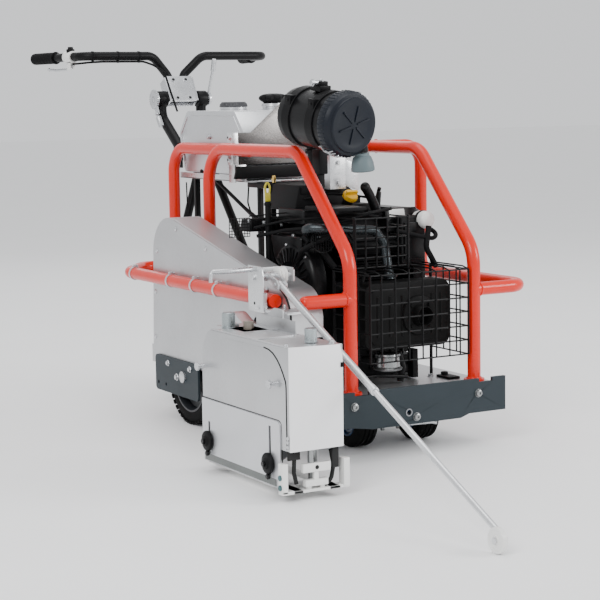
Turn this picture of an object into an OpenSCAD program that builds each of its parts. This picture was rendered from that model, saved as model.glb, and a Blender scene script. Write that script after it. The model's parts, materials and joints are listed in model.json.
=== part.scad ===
/* [Frame tubes] */
// Outside diameter of the protective frame tube
tube_d = 32; // [28:0.5:36]
// Wall thickness of the frame tube
tube_wall = 2.5; // [1.5:0.25:4]
// Distance of each upright hoop from the machine's centre plane
hoop_x = 173; // [165:1:180]
// Length of a hoop from its front leg to its rear leg
hoop_len = 712; // [680:1:740]
// Height of a hoop's top bar
hoop_top_z = 706; // [690:1:720]
// Height where a hoop's front leg starts to lean back
hoop_bend_z = 465; // [450:1:480]
// How far the leaning part runs back
hoop_lean_y = 232; // [220:1:240]
// Distance of the side rails from the centre plane
rail_x = 326; // [325:1:330]
// Height of the side rails
rail_z = 373; // [370:1:378]

/* [Deck and bumper] */
// Height of the deck's top face
deck_z = 152; // [150:1:154]
// Thickness of the deck plate
deck_t = 6; // [5:0.5:8]
// Half width of the deck
deck_half_w = 205; // [200:1:210]
// Where the deck ends at the rear
deck_rear_y = 1030; // [1020:1:1060]
// Half width of the front bumper plate
bumper_half_w = 231; // [225:1:240]
// Height of the bumper's top edge
bumper_top_z = 165; // [160:1:170]
// Height of the bumper's bottom edge at its ends
bumper_low_z = 83; // [78:1:88]
// Thickness of the bumper plate
bumper_t = 8; // [6:0.5:10]

/* [Wheels] */
// Diameter of the rear wheels
rear_wheel_d = 250; // [230:1:256]
// Width of a rear tyre
rear_wheel_w = 56; // [40:1:56]
// Position of the rear axle along the machine
rear_axle_y = 600; // [580:1:620]
// Distance of a rear wheel's middle from the centre plane
rear_wheel_x = 272; // [272:1:273]
// Diameter of the front wheels
front_wheel_d = 130; // [120:1:132]
// Width of a front wheel
front_wheel_w = 58; // [40:1:60]
// Position of the front axle along the machine
front_axle_y = 123; // [110:1:140]
// Distance of a front wheel's middle from the centre plane
front_wheel_x = 88; // [80:1:100]

/* [Blade unit] */
// Diameter of the diamond blade
blade_d = 254; // [240:1:256]
// Thickness of the blade's steel core
blade_t = 3; // [2.5:0.1:3.2]
// Width of the blade housing
housing_w = 128; // [124:1:132]
// Length of the blade housing
housing_len = 405; // [400:1:410]
// Height of the housing's top face
housing_top_z = 324; // [320:1:328]
// Distance of the housing's inner face from the centre plane
housing_x = 377; // [375:1:379]
// Sheet thickness of the housing
housing_t = 3; // [2.5:0.25:4]

/* [Guide arm] */
// Diameter of the guide arm's tube
guide_d = 16; // [14:0.5:18]
// Diameter of the guide wheel
guide_wheel_d = 50; // [46:1:54]

/* [Handlebar] */
// Outside diameter of the handlebar tube
bar_d = 25.4; // [24:0.2:28]
// Half width of the handlebar's straight part
bar_half_w = 290; // [270:1:300]
// Height of the handlebar
bar_z = 962; // [940:1:980]
// Position of the handlebar along the machine
bar_y = 1250; // [1240:1:1260]

/* [Hidden] */
$fn = 48;
fine = 72;
collar_l = 2;
collar_h = 0.3;
tube_r = tube_d / 2;
bore_r = tube_r - tube_wall;
// The model is drawn from the hoops' front legs and then moved, so that
// the origin lies under the middle of the whole machine
origin_x = 81.88;
origin_y = 317.54;

// ---- helpers ----

function unit(v) = v / norm(v);

// A round bar from point a to point b
module rod(a, b, r) {
    d = b - a;
    len = norm(d);
    translate(a)
        rotate([0, acos(d[2] / len), atan2(d[1], d[0])])
            cylinder(r = r, h = len);
}

// One round bend of radius turn_r at corner p, entered along u and left along v
module elbow(p, u, v, turn_r, r) {
    turn = acos(u * v);
    n = unit(v - (v * u) * u);
    w = cross(-n, u);
    c = p - u * turn_r * tan(turn / 2) + n * turn_r;
    multmatrix([
        [-n[0], u[0], w[0], c[0]],
        [-n[1], u[1], w[1], c[1]],
        [-n[2], u[2], w[2], c[2]],
        [0, 0, 0, 1]])
        rotate_extrude(angle = turn)
            translate([turn_r, 0]) circle(r = r);
}

// How much of a straight is used up by the bend at corner i
function cut_back(pts, bends, i) =
    (i == 0 || i == len(pts) - 1) ? 0 :
    bends[i - 1] * tan(acos(unit(pts[i] - pts[i - 1]) * unit(pts[i + 1] - pts[i])) / 2);

// A round bar bent along a list of corners, one bend radius for each inner corner
module bent_bar(pts, bends, r) {
    for (i = [0 : len(pts) - 2]) {
        u = unit(pts[i + 1] - pts[i]);
        a = pts[i] + u * cut_back(pts, bends, i);
        b = pts[i + 1] - u * cut_back(pts, bends, i + 1);
        rod(a, b, r);
        // A thin collar at each end knits the straight to its bend
        if (i > 0)
            rod(a - u * collar_l, a + u * collar_l, r + collar_h);
        if (i < len(pts) - 2)
            rod(b - u * collar_l, b + u * collar_l, r + collar_h);
    }
    for (i = [1 : len(pts) - 2])
        elbow(pts[i], unit(pts[i] - pts[i - 1]), unit(pts[i + 1] - pts[i]), bends[i - 1], r);
}

// The same corners with both ends drawn out a little
function drawn_out(pts) = let (n = len(pts) - 1)
    [for (i = [0 : n])
        i == 0 ? pts[0] - unit(pts[1] - pts[0]) :
        i == n ? pts[n] + unit(pts[n] - pts[n - 1]) : pts[i]];

// A frame tube: a hollow bent bar
module frame_tube(pts, bends) {
    difference() {
        bent_bar(pts, bends, tube_r);
        bent_bar(drawn_out(pts), bends, bore_r);
    }
}

// A cylinder along X from x0 to x1 with its axis at y, z
module x_cyl(x0, x1, y, z, r) {
    translate([x0, y, z]) rotate([0, 90, 0]) cylinder(r = r, h = x1 - x0);
}

// A cylinder along Y from y0 to y1 with its axis at x, z
module y_cyl(y0, y1, x, z, r) {
    translate([x, y0, z]) rotate([-90, 0, 0]) cylinder(r = r, h = y1 - y0);
}

// A cylinder along Z from z0 to z1 with its axis at x, y
module z_cyl(z0, z1, x, y, r) {
    translate([x, y, z0]) cylinder(r = r, h = z1 - z0);
}

module sphere_at(p, r) {
    translate(p) sphere(r = r);
}

// A box from its lowest corner to its highest corner
module box(a, b) {
    translate(a) cube(b - a);
}

// An outline in the Y-Z plane, made solid from x0 to x1
module side_plate(x0, x1) {
    translate([x0, 0, 0])
        rotate([90, 0, 90])
            linear_extrude(height = x1 - x0) children();
}

// An outline in the X-Z plane, made solid from y0 to y1
module front_plate(y0, y1) {
    translate([0, y1, 0])
        rotate([90, 0, 0])
            linear_extrude(height = y1 - y0) children();
}

// A rectangle with round corners, from corner a to corner b
module round_rect(a, b, r) {
    w = b[0] - a[0];
    h = b[1] - a[1];
    union() {
        translate([a[0] + r, a[1]]) square([w - 2 * r, h]);
        translate([a[0], a[1] + r]) square([w, h - 2 * r]);
        for (x = [a[0] + r, b[0] - r])
            for (y = [a[1] + r, b[1] - r])
                translate([x, y]) circle(r = r);
    }
}

// ---- frame ----

bumper_y = -48;
deck_front_y = bumper_y + bumper_t;
bolt_r = 5;
bumper_bolts = [[-194, 132], [151, 130], [-25, 92]];
front_axle_z = front_wheel_d / 2;
rear_axle_z = rear_wheel_d / 2;
front_axle_r = 9.95;
rear_axle_r = 12.45;
flange_depth = 44;

module deck_plate() {
    color("silver") difference() {
        union() {
            box([-deck_half_w, deck_front_y, deck_z - deck_t],
                [deck_half_w, deck_rear_y, deck_z]);
            for (s = [-1, 1])
                box([s * (deck_half_w - 3) - 3, deck_front_y, deck_z - flange_depth - deck_t],
                    [s * (deck_half_w - 3) + 3, deck_rear_y, deck_z - deck_t]);
        }
        // Four holes that tie the saw down in transport
        for (x = [-1, 1])
            for (y = [760, 880])
                z_cyl(deck_z - deck_t - 1, deck_z + 1, x * 60, y, 6.5);
        // The rear axle passes through both side flanges
        x_cyl(-deck_half_w - 1, deck_half_w + 1, rear_axle_y, rear_axle_z, rear_axle_r + 0.05);
    }
}

module bumper_plate() {
    notch_w = 38;
    notch_d = 9;
    belly_z = bumper_low_z - 8;
    color("darkslategray") difference() {
        front_plate(bumper_y, bumper_y + bumper_t) difference() {
            polygon([
                [-bumper_half_w, bumper_low_z], [-bumper_half_w, bumper_top_z],
                [bumper_half_w, bumper_top_z], [bumper_half_w, bumper_low_z],
                [125, bumper_low_z], [101, belly_z], [-145, belly_z],
                [-200, bumper_low_z]]);
            for (s = [-1, 1])
                translate([s * hoop_x - notch_w / 2, bumper_top_z - notch_d])
                    square([notch_w, notch_d + 1]);
        }
        for (b = bumper_bolts)
            y_cyl(bumper_y - 1, bumper_y + bumper_t + 1, b[0], b[1], bolt_r + 0.1);
        y_cyl(bumper_y - 1, bumper_y + bumper_t + 1, -46, 104, 6.5);
    }
}

// A hexagon-headed bolt pointing along +Y with the underside of its head at y
module y_bolt(x, y, z, len) {
    translate([x, y, z]) rotate([-90, 0, 0]) {
        translate([0, 0, -8]) cylinder(r = 9.2, h = 6.5, $fn = 6);
        translate([0, 0, -1.5]) cylinder(r = 11, h = 1.5);
        cylinder(r = bolt_r, h = len);
    }
}

module frame_bolts() {
    color("gainsboro") for (b = bumper_bolts) {
        y_bolt(b[0], bumper_y, b[1], bumper_t);
    }
}

module hoop(s) {
    x = s * hoop_x;
    pts = [[x, 0, deck_z], [x, 0, hoop_bend_z], [x, hoop_lean_y, hoop_top_z],
        [x, hoop_len, hoop_top_z], [x, hoop_len, deck_z]];
    bends = [95, 70, 95];
    difference() {
        union() {
            bent_bar(pts, bends, tube_r);
            for (y = [0, hoop_len])
                z_cyl(deck_z, deck_z + 6, x, y, tube_r + 9);
        }
        bent_bar(drawn_out(pts), bends, bore_r);
    }
}

module left_hoop() {
    color("orangered") hoop(-1);
}

module right_hoop() {
    color("orangered") hoop(1);
}

rail_front_y = 78;
stub_x = 306;
rear_leg_x = 137;
rear_leg_y = 1002;
riser_y = 456;
rail_turn_y = 900;
rail_turn_x = 240;

module left_rail() {
    color("orangered") difference() {
        frame_tube([[-rail_x, rail_front_y, rail_z], [-rail_x, rail_turn_y, rail_z],
            [-rail_turn_x, rear_leg_y, rail_z], [-rear_leg_x, rear_leg_y, rail_z]], [60, 50]);
        z_cyl(rail_z - 30, rail_z + 30, -rear_leg_x, rear_leg_y, tube_r);
    }
}

module right_rail() {
    color("orangered") difference() {
        frame_tube([[hoop_x, 0, rail_z], [rail_x, 0, rail_z], [rail_x, riser_y, rail_z],
            [rail_x, riser_y, hoop_top_z], [hoop_x, riser_y, hoop_top_z]], [48, 36, 50]);
        z_cyl(rail_z - 30, rail_z + 30, hoop_x, 0, tube_r);
        y_cyl(riser_y - 30, riser_y + 30, hoop_x, hoop_top_z, tube_r);
    }
}

rear_post_y = 925;
rear_link_z = hoop_top_z - 92;

module cross_tubes() {
    color("orangered") {
        // Short closed stub in front, which carries the left rail's bracket
        difference() {
            x_cyl(-stub_x, -hoop_x, 0, rail_z, tube_r);
            x_cyl(-stub_x + 4, -hoop_x + 1, 0, rail_z, bore_r);
            z_cyl(rail_z - 30, rail_z + 30, -hoop_x, 0, tube_r);
        }
        frame_tube([[-rear_leg_x, rear_leg_y, deck_z], [-rear_leg_x, rear_leg_y, hoop_top_z - 4],
            [-rear_leg_x, 545, hoop_top_z - 4]], [72]);
        difference() {
            frame_tube([[hoop_x, rear_post_y, deck_z], [hoop_x, rear_post_y, rear_link_z],
                [hoop_x, hoop_len, rear_link_z]], [55]);
            z_cyl(rear_link_z - 30, rear_link_z + 30, hoop_x, hoop_len, tube_r + collar_h + 0.05);
        }
    }
}

module rail_clamps() {
    band_w = 9;
    color("gainsboro") for (y = [366, 493, 633, 862]) {
        difference() {
            union() {
                y_cyl(y - band_w / 2, y + band_w / 2, -rail_x, rail_z, tube_r + 2);
                box([-rail_x - 9, y - band_w / 2, rail_z + 12], [-rail_x + 1, y + band_w / 2, rail_z + 25]);
            }
            y_cyl(y - band_w, y + band_w, -rail_x, rail_z, tube_r + 0.05);
        }
    }
}

bracket_x = 312;

module side_brackets() {
    color("slategray") for (s = [-1, 1]) {
        difference() {
            union() {
                side_plate(s * bracket_x - 3, s * bracket_x + 3)
                    round_rect([515, 72], [770, 166], 12);
                // Arms that carry the plate from the deck, behind the wheel
                box([s > 0 ? deck_half_w : -bracket_x + 3, 738, 110],
                    [s > 0 ? bracket_x - 3 : -deck_half_w, 768, 140]);
            }
            x_cyl(s * bracket_x - 4, s * bracket_x + 4, rear_axle_y, rear_axle_z, rear_axle_r + 0.05);
            for (y = [706, 752])
                x_cyl(s * bracket_x - 4, s * bracket_x + 4, y, 92, 4.5);
        }
    }
    // Bearing plate that carries the swing shaft's inner end
    color("slategray") difference() {
        union() {
            box([-252, swing_y - 32, deck_z], [-240, swing_y + 32, swing_z + 32]);
            box([-252, swing_y - 32, deck_z], [-deck_half_w + 20, swing_y + 32, deck_z + 8]);
        }
        x_cyl(-253, -239, swing_y, swing_z, swing_r + 0.05);
    }
}

module axles() {
    color("gray") {
        x_cyl(-bracket_x - 8, bracket_x + 8, rear_axle_y, rear_axle_z, rear_axle_r);
        x_cyl(-deck_half_w + 6, deck_half_w - 6, front_axle_y, front_axle_z, front_axle_r);
        // Hangers under the deck hold the front axle
        for (x = [-150, 0, 150])
            difference() {
                box([x - 5, front_axle_y - 22, front_axle_z - 18],
                    [x + 5, front_axle_y + 22, deck_z - deck_t]);
                x_cyl(x - 6, x + 6, front_axle_y, front_axle_z, front_axle_r);
            }
    }
}

// ---- wheels ----

module tyre_section(r_out, r_in, w, shoulder) {
    rotate_extrude($fn = fine) polygon([
        [r_in, -w / 2 + 3], [r_in + 4, -w / 2], [r_out - shoulder, -w / 2],
        [r_out, -w / 2 + shoulder], [r_out, w / 2 - shoulder],
        [r_out - shoulder, w / 2], [r_in + 4, w / 2], [r_in, w / 2 - 3]]);
}

module front_wheel(s) {
    translate([s * front_wheel_x, front_axle_y, front_axle_z]) rotate([0, 90, 0])
        difference() {
            union() {
                tyre_section(front_wheel_d / 2, 36, front_wheel_w, 6);
                rotate_extrude($fn = fine) polygon([
                    [12, -front_wheel_w / 2 - 2], [20, -front_wheel_w / 2 - 2], [20, -12],
                    [36, -12], [36, 12], [20, 12], [20, front_wheel_w / 2 + 2],
                    [12, front_wheel_w / 2 + 2]]);
                cylinder(r = 14, h = front_wheel_w + 4, center = true);
            }
            cylinder(r = front_axle_r + 0.05, h = 200, center = true);
        }
}

module front_wheel_left() {
    color("steelblue") front_wheel(-1);
}

module front_wheel_right() {
    color("steelblue") front_wheel(1);
}

rear_rim_r = rear_wheel_d / 2 - 36;

module rear_hub(s) {
    half = rear_wheel_w / 2;
    translate([s * rear_wheel_x, rear_axle_y, rear_axle_z]) rotate([0, 90, 0])
        difference() {
            union() {
                rotate_extrude($fn = fine) polygon([
                    [20, -4], [rear_rim_r - 3, -4], [rear_rim_r - 3, -half + 4],
                    [rear_rim_r, -half + 4], [rear_rim_r, half - 4],
                    [rear_rim_r - 3, half - 4], [rear_rim_r - 3, 4], [20, 4]]);
                cylinder(r = 22, h = 2 * half, center = true);
            }
            cylinder(r = rear_axle_r + 0.05, h = 200, center = true);
        }
}

module rear_tyre(s) {
    translate([s * rear_wheel_x, rear_axle_y, rear_axle_z]) rotate([0, 90, 0])
        tyre_section(rear_wheel_d / 2, rear_rim_r, rear_wheel_w, 10);
}

module rear_hub_left() {
    color("dimgray") rear_hub(-1);
}

module rear_hub_right() {
    color("dimgray") rear_hub(1);
}

module rear_tyre_left() {
    color("#333333") rear_tyre(-1);
}

module rear_tyre_right() {
    color("#333333") rear_tyre(1);
}

// ---- engine ----

shaft_y = 330;
shaft_z = 330;
block_top_z = 400;

dipstick_at = [-200, 339];

module engine_block() {
    color("#222222") {
        box([-130, 190, deck_z], [130, 470, 200]);
        difference() {
            union() {
                box([-120, 205, 200], [110, 455, block_top_z]);
                x_cyl(-150, -120, shaft_y, shaft_z, 100);
            }
            x_cyl(-151, -100, shaft_y, shaft_z, 16);
        }
        // Tube that the dipstick goes down
        difference() {
            union() {
                z_cyl(372, 584, dipstick_at[0], dipstick_at[1], 7);
                x_cyl(dipstick_at[0], -118, dipstick_at[1], 380, 7);
            }
            z_cyl(440, 585, dipstick_at[0], dipstick_at[1], 3.6);
        }
    }
}

// The two finned barrels with their heads lean apart, seen from the side
module cylinders() {
    color("#1a1a1a") difference() {
        for (s = [-1, 1])
            translate([0, shaft_y + s * 60, block_top_z]) rotate([-s * 32, 0, 0]) {
                translate([-60, -55, 2]) cube([120, 110, 20]);
                for (i = [0 : 5])
                    translate([-72, -66, 22 + 13 * i]) cube([144, 132, 6]);
                translate([-58, -52, 22]) cube([116, 104, 78]);
                translate([-74, -60, 100]) cube([148, 120, 34]);
            }
        box([-100, 100, 300], [100, 560, block_top_z]);
    }
}

module blower_housing() {
    color("#202020") difference() {
        union() {
            box([112, 170, 240], [150, 490, 560]);
            x_cyl(150, 172, shaft_y, shaft_z + 30, 118);
            // Cooler and ignition box in front of the housing
            box([76, 148, 430], [136, 172, 508]);
            box([76, 148, 430], [104, 172, 548]);
            box([76, 171, 505], [134, 240, 572]);
        }
        x_cyl(160, 173, shaft_y, shaft_z + 30, 108);
    }
}

module muffler() {
    color("#2a2a2a") difference() {
        union() {
            translate([0, 100, 0]) rotate([90, 0, 0]) linear_extrude(height = 62)
                round_rect([-110, 240], [130, 400], 18);
            y_cyl(14, 38, 36, 318, 26);
            y_cyl(4, 14, 36, 318, 22);
        }
        y_cyl(3, 60, 36, 318, 19);
    }
}

module wire(a, b) {
    rod(a, b, 1.8);
}

// The cage in front of the muffler and the smaller one over the exhaust pipes
module wire_guards() {
    cage = [-128, 150, 218, 426];
    front_y = -14;
    color("black") {
        for (x = [-98, -60, -22, 16, 54, 92, 130])
            wire([x, front_y, cage[2]], [x, front_y, cage[3]]);
        for (i = [0 : 6])
            wire([cage[0], front_y + 3, cage[2] + 34 * i], [cage[1], front_y + 3, cage[2] + 34 * i]);
        for (x = [cage[0], cage[1]])
            for (i = [0 : 6])
                wire([x, front_y + 3, cage[2] + 34 * i], [x, 150, cage[2] + 34 * i]);
        for (x = [cage[0], cage[1]])
            for (y = [front_y + 3, 40, 95, 150])
                wire([x, y, cage[2]], [x, y, cage[3]]);
        for (x = [-116, -80, -44, -8, 28])
            wire([x, 60, 432], [x, 60, 580]);
        for (i = [0 : 4])
            wire([-122, 63, 432 + 37 * i], [30, 63, 432 + 37 * i]);
        // Posts that stand the cages on the deck
        for (x = [cage[0], cage[1]])
            rod([x, 150, deck_z], [x, 150, cage[3]], 4);
        rod([-122, 63, 410], [-122, 63, 582], 3);
        rod([30, 63, 410], [30, 63, 582], 3);
        rod([-130, 150, 424], [-122, 63, 432], 3);
        rod([30, 63, 424], [30, 150, 424], 3);
        rod([-130, 150, 424], [152, 150, 424], 3);
    }
}

// The pipe leaves the front head's side and comes down into the muffler's top
module exhaust_pipe() {
    color("dimgray") difference() {
        bent_bar([[-74.2, 208, 499], [-150, 208, 499], [-195, 150, 530], [-160, 120, 528],
            [-30, 120, 518], [-4, 118, 485], [-6, 84, 390]], [20, 20, 15, 25, 25], 11.5);
        box([-40, 30, 380], [40, 110, 400]);
    }
}

module oil_filter() {
    color("whitesmoke") {
        y_cyl(122, 170, 130, 534, 25);
        y_cyl(114, 122, 130, 534, 19);
    }
}

clean_x = -155;
clean_z = 770;
clean_r = 68;
clean_y0 = -2;
clean_y1 = 206;

module air_cleaner() {
    color("#1c1c1c") difference() {
        union() {
            y_cyl(clean_y0 + 22, clean_y1, clean_x, clean_z, clean_r);
            for (y = [78, 160])
                y_cyl(y, y + 14, clean_x, clean_z, clean_r + 4);
        }
        y_cyl(clean_y0 + 21, clean_y1 - 6, clean_x, clean_z, clean_r - 5);
    }
}

module air_cleaner_cover() {
    color("#222222") difference() {
        union() {
            y_cyl(clean_y0, clean_y0 + 22, clean_x, clean_z, clean_r + 3);
            // Stub of the dust valve at the bottom
            rod([clean_x + 41, clean_y0 + 11, clean_z - 40],
                [clean_x + 42, clean_y0 + 11, clean_z - 102], 10.5);
        }
        y_cyl(clean_y0 + 5, clean_y0 + 23, clean_x, clean_z, clean_r - 4);
    }
}

module air_duct() {
    color("#2b2b2b") {
        // Saddle under the air cleaner, on two legs
        difference() {
            box([-152, 105, 668], [-92, 205, 732]);
            y_cyl(100, clean_y1 + 1, clean_x, clean_z, clean_r + 4.1);
        }
        for (y = [112, 190])
            box([-150, y, 572], [-140, y + 10, 672]);
        // The hose that feeds the engine
        bent_bar([[clean_x, clean_y1 + 0.5, clean_z], [clean_x, 330, clean_z], [-20, 330, 700],
            [-20, 330, 570]], [40, 30], 30);
        box([-70, 236, 548], [40, 420, 578]);
        // Neck that the oil cap closes, leaning forward like the cap
        rod([-26, 259.3, 567], [-26, 240.3, 589.6], 12);
        box([-152, 105, 568], [-60, 240, 577]);
        // Intake manifold cover on the left
        box([-230, 384, 506], [-84, 436, 538]);
        box([-100, 384, 530], [-76, 420, 572]);
        box([-80, 384, 549], [-66, 420, 572]);
    }
}

oil_cap_at = [-26, 240, 590];
oil_cap_lean = 40;

module oil_cap() {
    color("gold") translate(oil_cap_at) rotate([oil_cap_lean, 0, 0]) {
        cylinder(r = 18, h = 14);
        translate([0, 0, 14]) cylinder(r = 11, h = 10);
    }
}

module dipstick() {
    color("gold") {
        z_cyl(480, 590, dipstick_at[0], dipstick_at[1], 3);
        z_cyl(586, 634, dipstick_at[0], dipstick_at[1], 8);
    }
}

module choke_lever() {
    color("black") {
        x_cyl(108.5, 111.5, 330, 575, 8);
        rod([110, 330, 580], [110, 318, 606], 5);
    }
}

// ---- air, water and fuel ----

tank_x0 = -112;
tank_x1 = 150;
tank_wall = 4;
// Filler necks: position across, position along, outside radius
tank_necks = [[-24, 850, 36], [100, 850, 30]];

module tank_outline(inset) {
    low = 634 + inset;
    high = 803 - inset;
    lean = inset * 0.5;
    polygon([
        [628 + inset, 660 + lean], [625 + inset, 742 - lean], [677 + lean, high],
        [962 - lean, high], [1012 - inset, 742 - lean], [985 - inset, low],
        [655 + lean, low]]);
}

module water_tank() {
    color("silver") {
        difference() {
            union() {
                side_plate(tank_x0, tank_x1) tank_outline(0);
                for (n = tank_necks)
                    z_cyl(800, 812, n[0], n[1], n[2]);
            }
            side_plate(tank_x0 + tank_wall, tank_x1 - tank_wall) tank_outline(tank_wall);
            for (n = tank_necks)
                z_cyl(790, 813, n[0], n[1], n[2] - 6);
        }
    }
}

module tank_cap() {
    color("#444444") {
        z_cyl(812.4, 822, -24, 850, 38);
        z_cyl(822, 826, -24, 850, 34);
    }
}

module fuel_cap() {
    color("black") {
        z_cyl(812.4, 838, 100, 850, 30);
        z_cyl(838, 848, 100, 850, 40);
    }
}

module tank_tray() {
    color("silver") {
        // Heat shield in front of the tank
        difference() {
            front_plate(613, 616) polygon([
                [-150, 618], [-150, 747], [-98, 747], [41, 878], [95, 878], [150, 810],
                [150, 618]]);
            y_cyl(600, 630, -rear_leg_x, hoop_top_z - 4, tube_r + 0.5);
        }
        // Bar across under the shield
        box([-150, 594, 628], [34, 606, 660]);
        box([-118, 594, 618], [34, 606, 630]);
        box([-118, 500, 618], [155, 1000, 628]);
        box([-118, 500, 628], [-112, 700, 640]);
        box([-118, 640, 628], [155, 990, 634]);
        for (x = [-90, 110])
            for (y = [520, 960])
                box([x, y, deck_z], [x + 14, y + 14, 618]);
    }
}

// ---- drive ----

guard_x0 = 308;
guard_x1 = 222;
guard_t = 2.5;

// The guard's sides: a big round corner behind, a small round nose in front
// and a straight sloping top that meets both
guard_slope = 13;
corner = [681, 431, 100];
nose = [115, 327.5, 75];

module guard_outline(inset) {
    rc = corner[2] - inset;
    rn = nose[2] - inset;
    // The straight edges end just inside the arcs, so that they cross them cleanly
    ec = rc - 0.5;
    en = rn - 0.5;
    translate([corner[0], corner[1]]) circle(r = rc, $fn = fine);
    translate([nose[0], nose[1]]) circle(r = rn, $fn = fine);
    polygon([
        [796 - inset, 154], [corner[0] + ec, corner[1]],
        [corner[0] - ec * sin(guard_slope), corner[1] + ec * cos(guard_slope)],
        [nose[0] - en * sin(guard_slope), nose[1] + en * cos(guard_slope)],
        [nose[0] - en, nose[1]], [nose[0] - en, 284], [330, 262], [400, 154]]);
}

module guard_mouth() {
    polygon([[30, 200], [30, 287], [330, 265], [402, 154], [402, 100], [100, 100]]);
}

module drive_guard() {
    color("gainsboro") difference() {
        side_plate(-guard_x0, -guard_x1) guard_outline(0);
        side_plate(-guard_x0 + guard_t, -guard_x1 + 1) guard_outline(guard_t);
        side_plate(-guard_x0 - 1, -guard_x1 + 1) guard_mouth();
        // Room for the wheel below and the swing shaft through the face
        box([-guard_x0 + guard_t, 400, 150], [-guard_x1 + 1, 796 - guard_t, 156]);
        x_cyl(-guard_x0 - 1, -guard_x0 + 3, swing_y, swing_z, 24);
    }
}

swing_y = 200;
swing_z = 300;
swing_r = 12;
engine_pulley_r = 58;
jack_pulley_r = 44;

module belt_loop(grow) {
    hull() {
        translate([shaft_y, shaft_z]) circle(r = engine_pulley_r + grow, $fn = 32);
        translate([swing_y, swing_z]) circle(r = jack_pulley_r + grow, $fn = 32);
    }
}

module drive_belt() {
    color("#151515") difference() {
        side_plate(-276, -258) belt_loop(8);
        side_plate(-277, -257) belt_loop(2);
    }
}

module engine_pulley() {
    color("dimgray") {
        x_cyl(-280, -277, shaft_y, shaft_z, 50);
        x_cyl(-277, -257, shaft_y, shaft_z, engine_pulley_r);
        x_cyl(-257, -101, shaft_y, shaft_z, 15.95);
    }
}

module jack_pulley() {
    color("dimgray") difference() {
        x_cyl(-277, -257, swing_y, swing_z, jack_pulley_r);
        x_cyl(-278, -256, swing_y, swing_z, swing_r + 0.05);
    }
}

// ---- guide arm ----

guide_pivot = [-320, 112, 428];
guide_hub = [-375, -846, guide_wheel_d / 2];
guide_pin_r = 6;

module guide_bracket() {
    color("gainsboro") difference() {
        union() {
            box([-362, 72, 349], [-358, 142, 454]);
            box([-358, 138, 414], [-266, 142, 446]);
            box([-270, 92, 414], [-266, 138, 446]);
            x_cyl(-358, -270, guide_pivot[1], guide_pivot[2], guide_pin_r);
            // Saddle on the rail and the foot plate under rail and stub
            box([-358, 84, 357], [-330, 138, 392]);
            box([-358, 60, 351], [-311, 138, 357]);
            box([-345, -12, 351], [-290, 34, 357]);
            box([-345, 34, 351], [-311, 60, 357]);
        }
        y_cyl(70, 150, -rail_x, rail_z, tube_r + 0.05);
        x_cyl(-363, -357, guide_pivot[1], 360, 3.5);
        x_cyl(-363, -357, guide_pivot[1], lock_z, 3.55);
    }
}

module guide_arm() {
    knee = [-319, 66, 413];
    tip = guide_hub + [16, 10, 4];
    color("gainsboro") difference() {
        union() {
            x_cyl(-334, -308, guide_pivot[1], guide_pivot[2], 11);
            rod([-321, guide_pivot[1], guide_pivot[2]], knee, 9);
            sphere_at(knee, 9.5);
            rod(knee, tip, guide_d / 2);
            sphere_at(tip, 9);
            x_cyl(guide_hub[0] - 9, guide_hub[0] + 19, guide_hub[1], guide_hub[2], 4);
            rod(tip, guide_hub + [16, 0, 0], 6);
        }
        x_cyl(-335, -307, guide_pivot[1], guide_pivot[2], guide_pin_r + 0.05);
    }
}

module guide_wheel() {
    color("whitesmoke") difference() {
        x_cyl(guide_hub[0] - 7, guide_hub[0] + 5, guide_hub[1], guide_hub[2], guide_wheel_d / 2);
        x_cyl(guide_hub[0] - 10, guide_hub[0] + 10, guide_hub[1], guide_hub[2], 4.05);
    }
}

module cord_pulley() {
    bore = guide_pin_r + 0.05;
    color("silver") translate([-304, guide_pivot[1], guide_pivot[2]]) rotate([0, 90, 0])
        rotate_extrude($fn = fine) polygon([
            [bore, 0], [20, 0], [20, 3], [15, 6], [20, 9], [20, 13], [15, 16],
            [20, 19], [20, 22], [bore, 22]]);
}

lock_z = 446;

module lock_pin() {
    color("silver") {
        x_cyl(-474, -365, 112, lock_z, 6);
        x_cyl(-365, -345, 112, lock_z, 3.5);
        z_cyl(lock_z - 24, lock_z, -470, 112, 4);
    }
}

// ---- handlebar ----

tilt_y = 1230;
tilt_z = 836;
leg_x = 64;
strut_y = 1085;
strut_z = 678;
// How far the clamp's plates lean back from upright
clamp_lean = 28;

module handle_support() {
    color("#222222") difference() {
        union() {
            for (s = [-1, 1]) {
                bent_bar([[s * leg_x, strut_y, strut_z], [s * leg_x, tilt_y, tilt_z - 50],
                    [s * leg_x, tilt_y, tilt_z]], [40], 15);
                x_cyl(s * leg_x - 14.5, s * leg_x + 14.5, tilt_y, tilt_z, 24);
                // Strut that leans out to a rear corner of the deck
                rod([s * 8, strut_y, strut_z], [s * 185, 1018, deck_z + 20], 12);
                box([s * 185 - 15, 1004, deck_z], [s * 185 + 15, 1028, deck_z + 26]);
            }
            x_cyl(-leg_x - 16, leg_x + 16, strut_y, strut_z, 16);
        }
        x_cyl(-80, 80, tilt_y, tilt_z, 8.05);
    }
}

module clamp_block() {
    color("silver") {
        translate([0, tilt_y, tilt_z]) rotate([-clamp_lean, 0, 0]) difference() {
            union() {
                for (y = [-19, 13])
                    box([-43, y, -16], [43, y + 6, 66]);
                for (s = [-1, 1])
                    box([s * 43 - 3, -19, -16], [s * 43 + 3, 19, 66]);
            }
            for (x = [-20, 20])
                for (z = [-6, 54])
                    y_cyl(-30, -12.5, x, z, 4.5);
        }
        x_cyl(-84, 92, tilt_y, tilt_z, 8);
    }
}

module handlebar() {
    r = bar_d / 2;
    color("#1d1d1d") for (s = [-1, 1])
        bent_bar([[s * 24, tilt_y + 5, tilt_z + 9], [s * 24, tilt_y + 36.6, tilt_z + 68.9],
            [s * 80, bar_y, bar_z], [s * bar_half_w, bar_y, bar_z],
            [s * (bar_half_w + 55), bar_y + 245, bar_z - 2]], [20, 40, 45], r);
}

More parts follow.
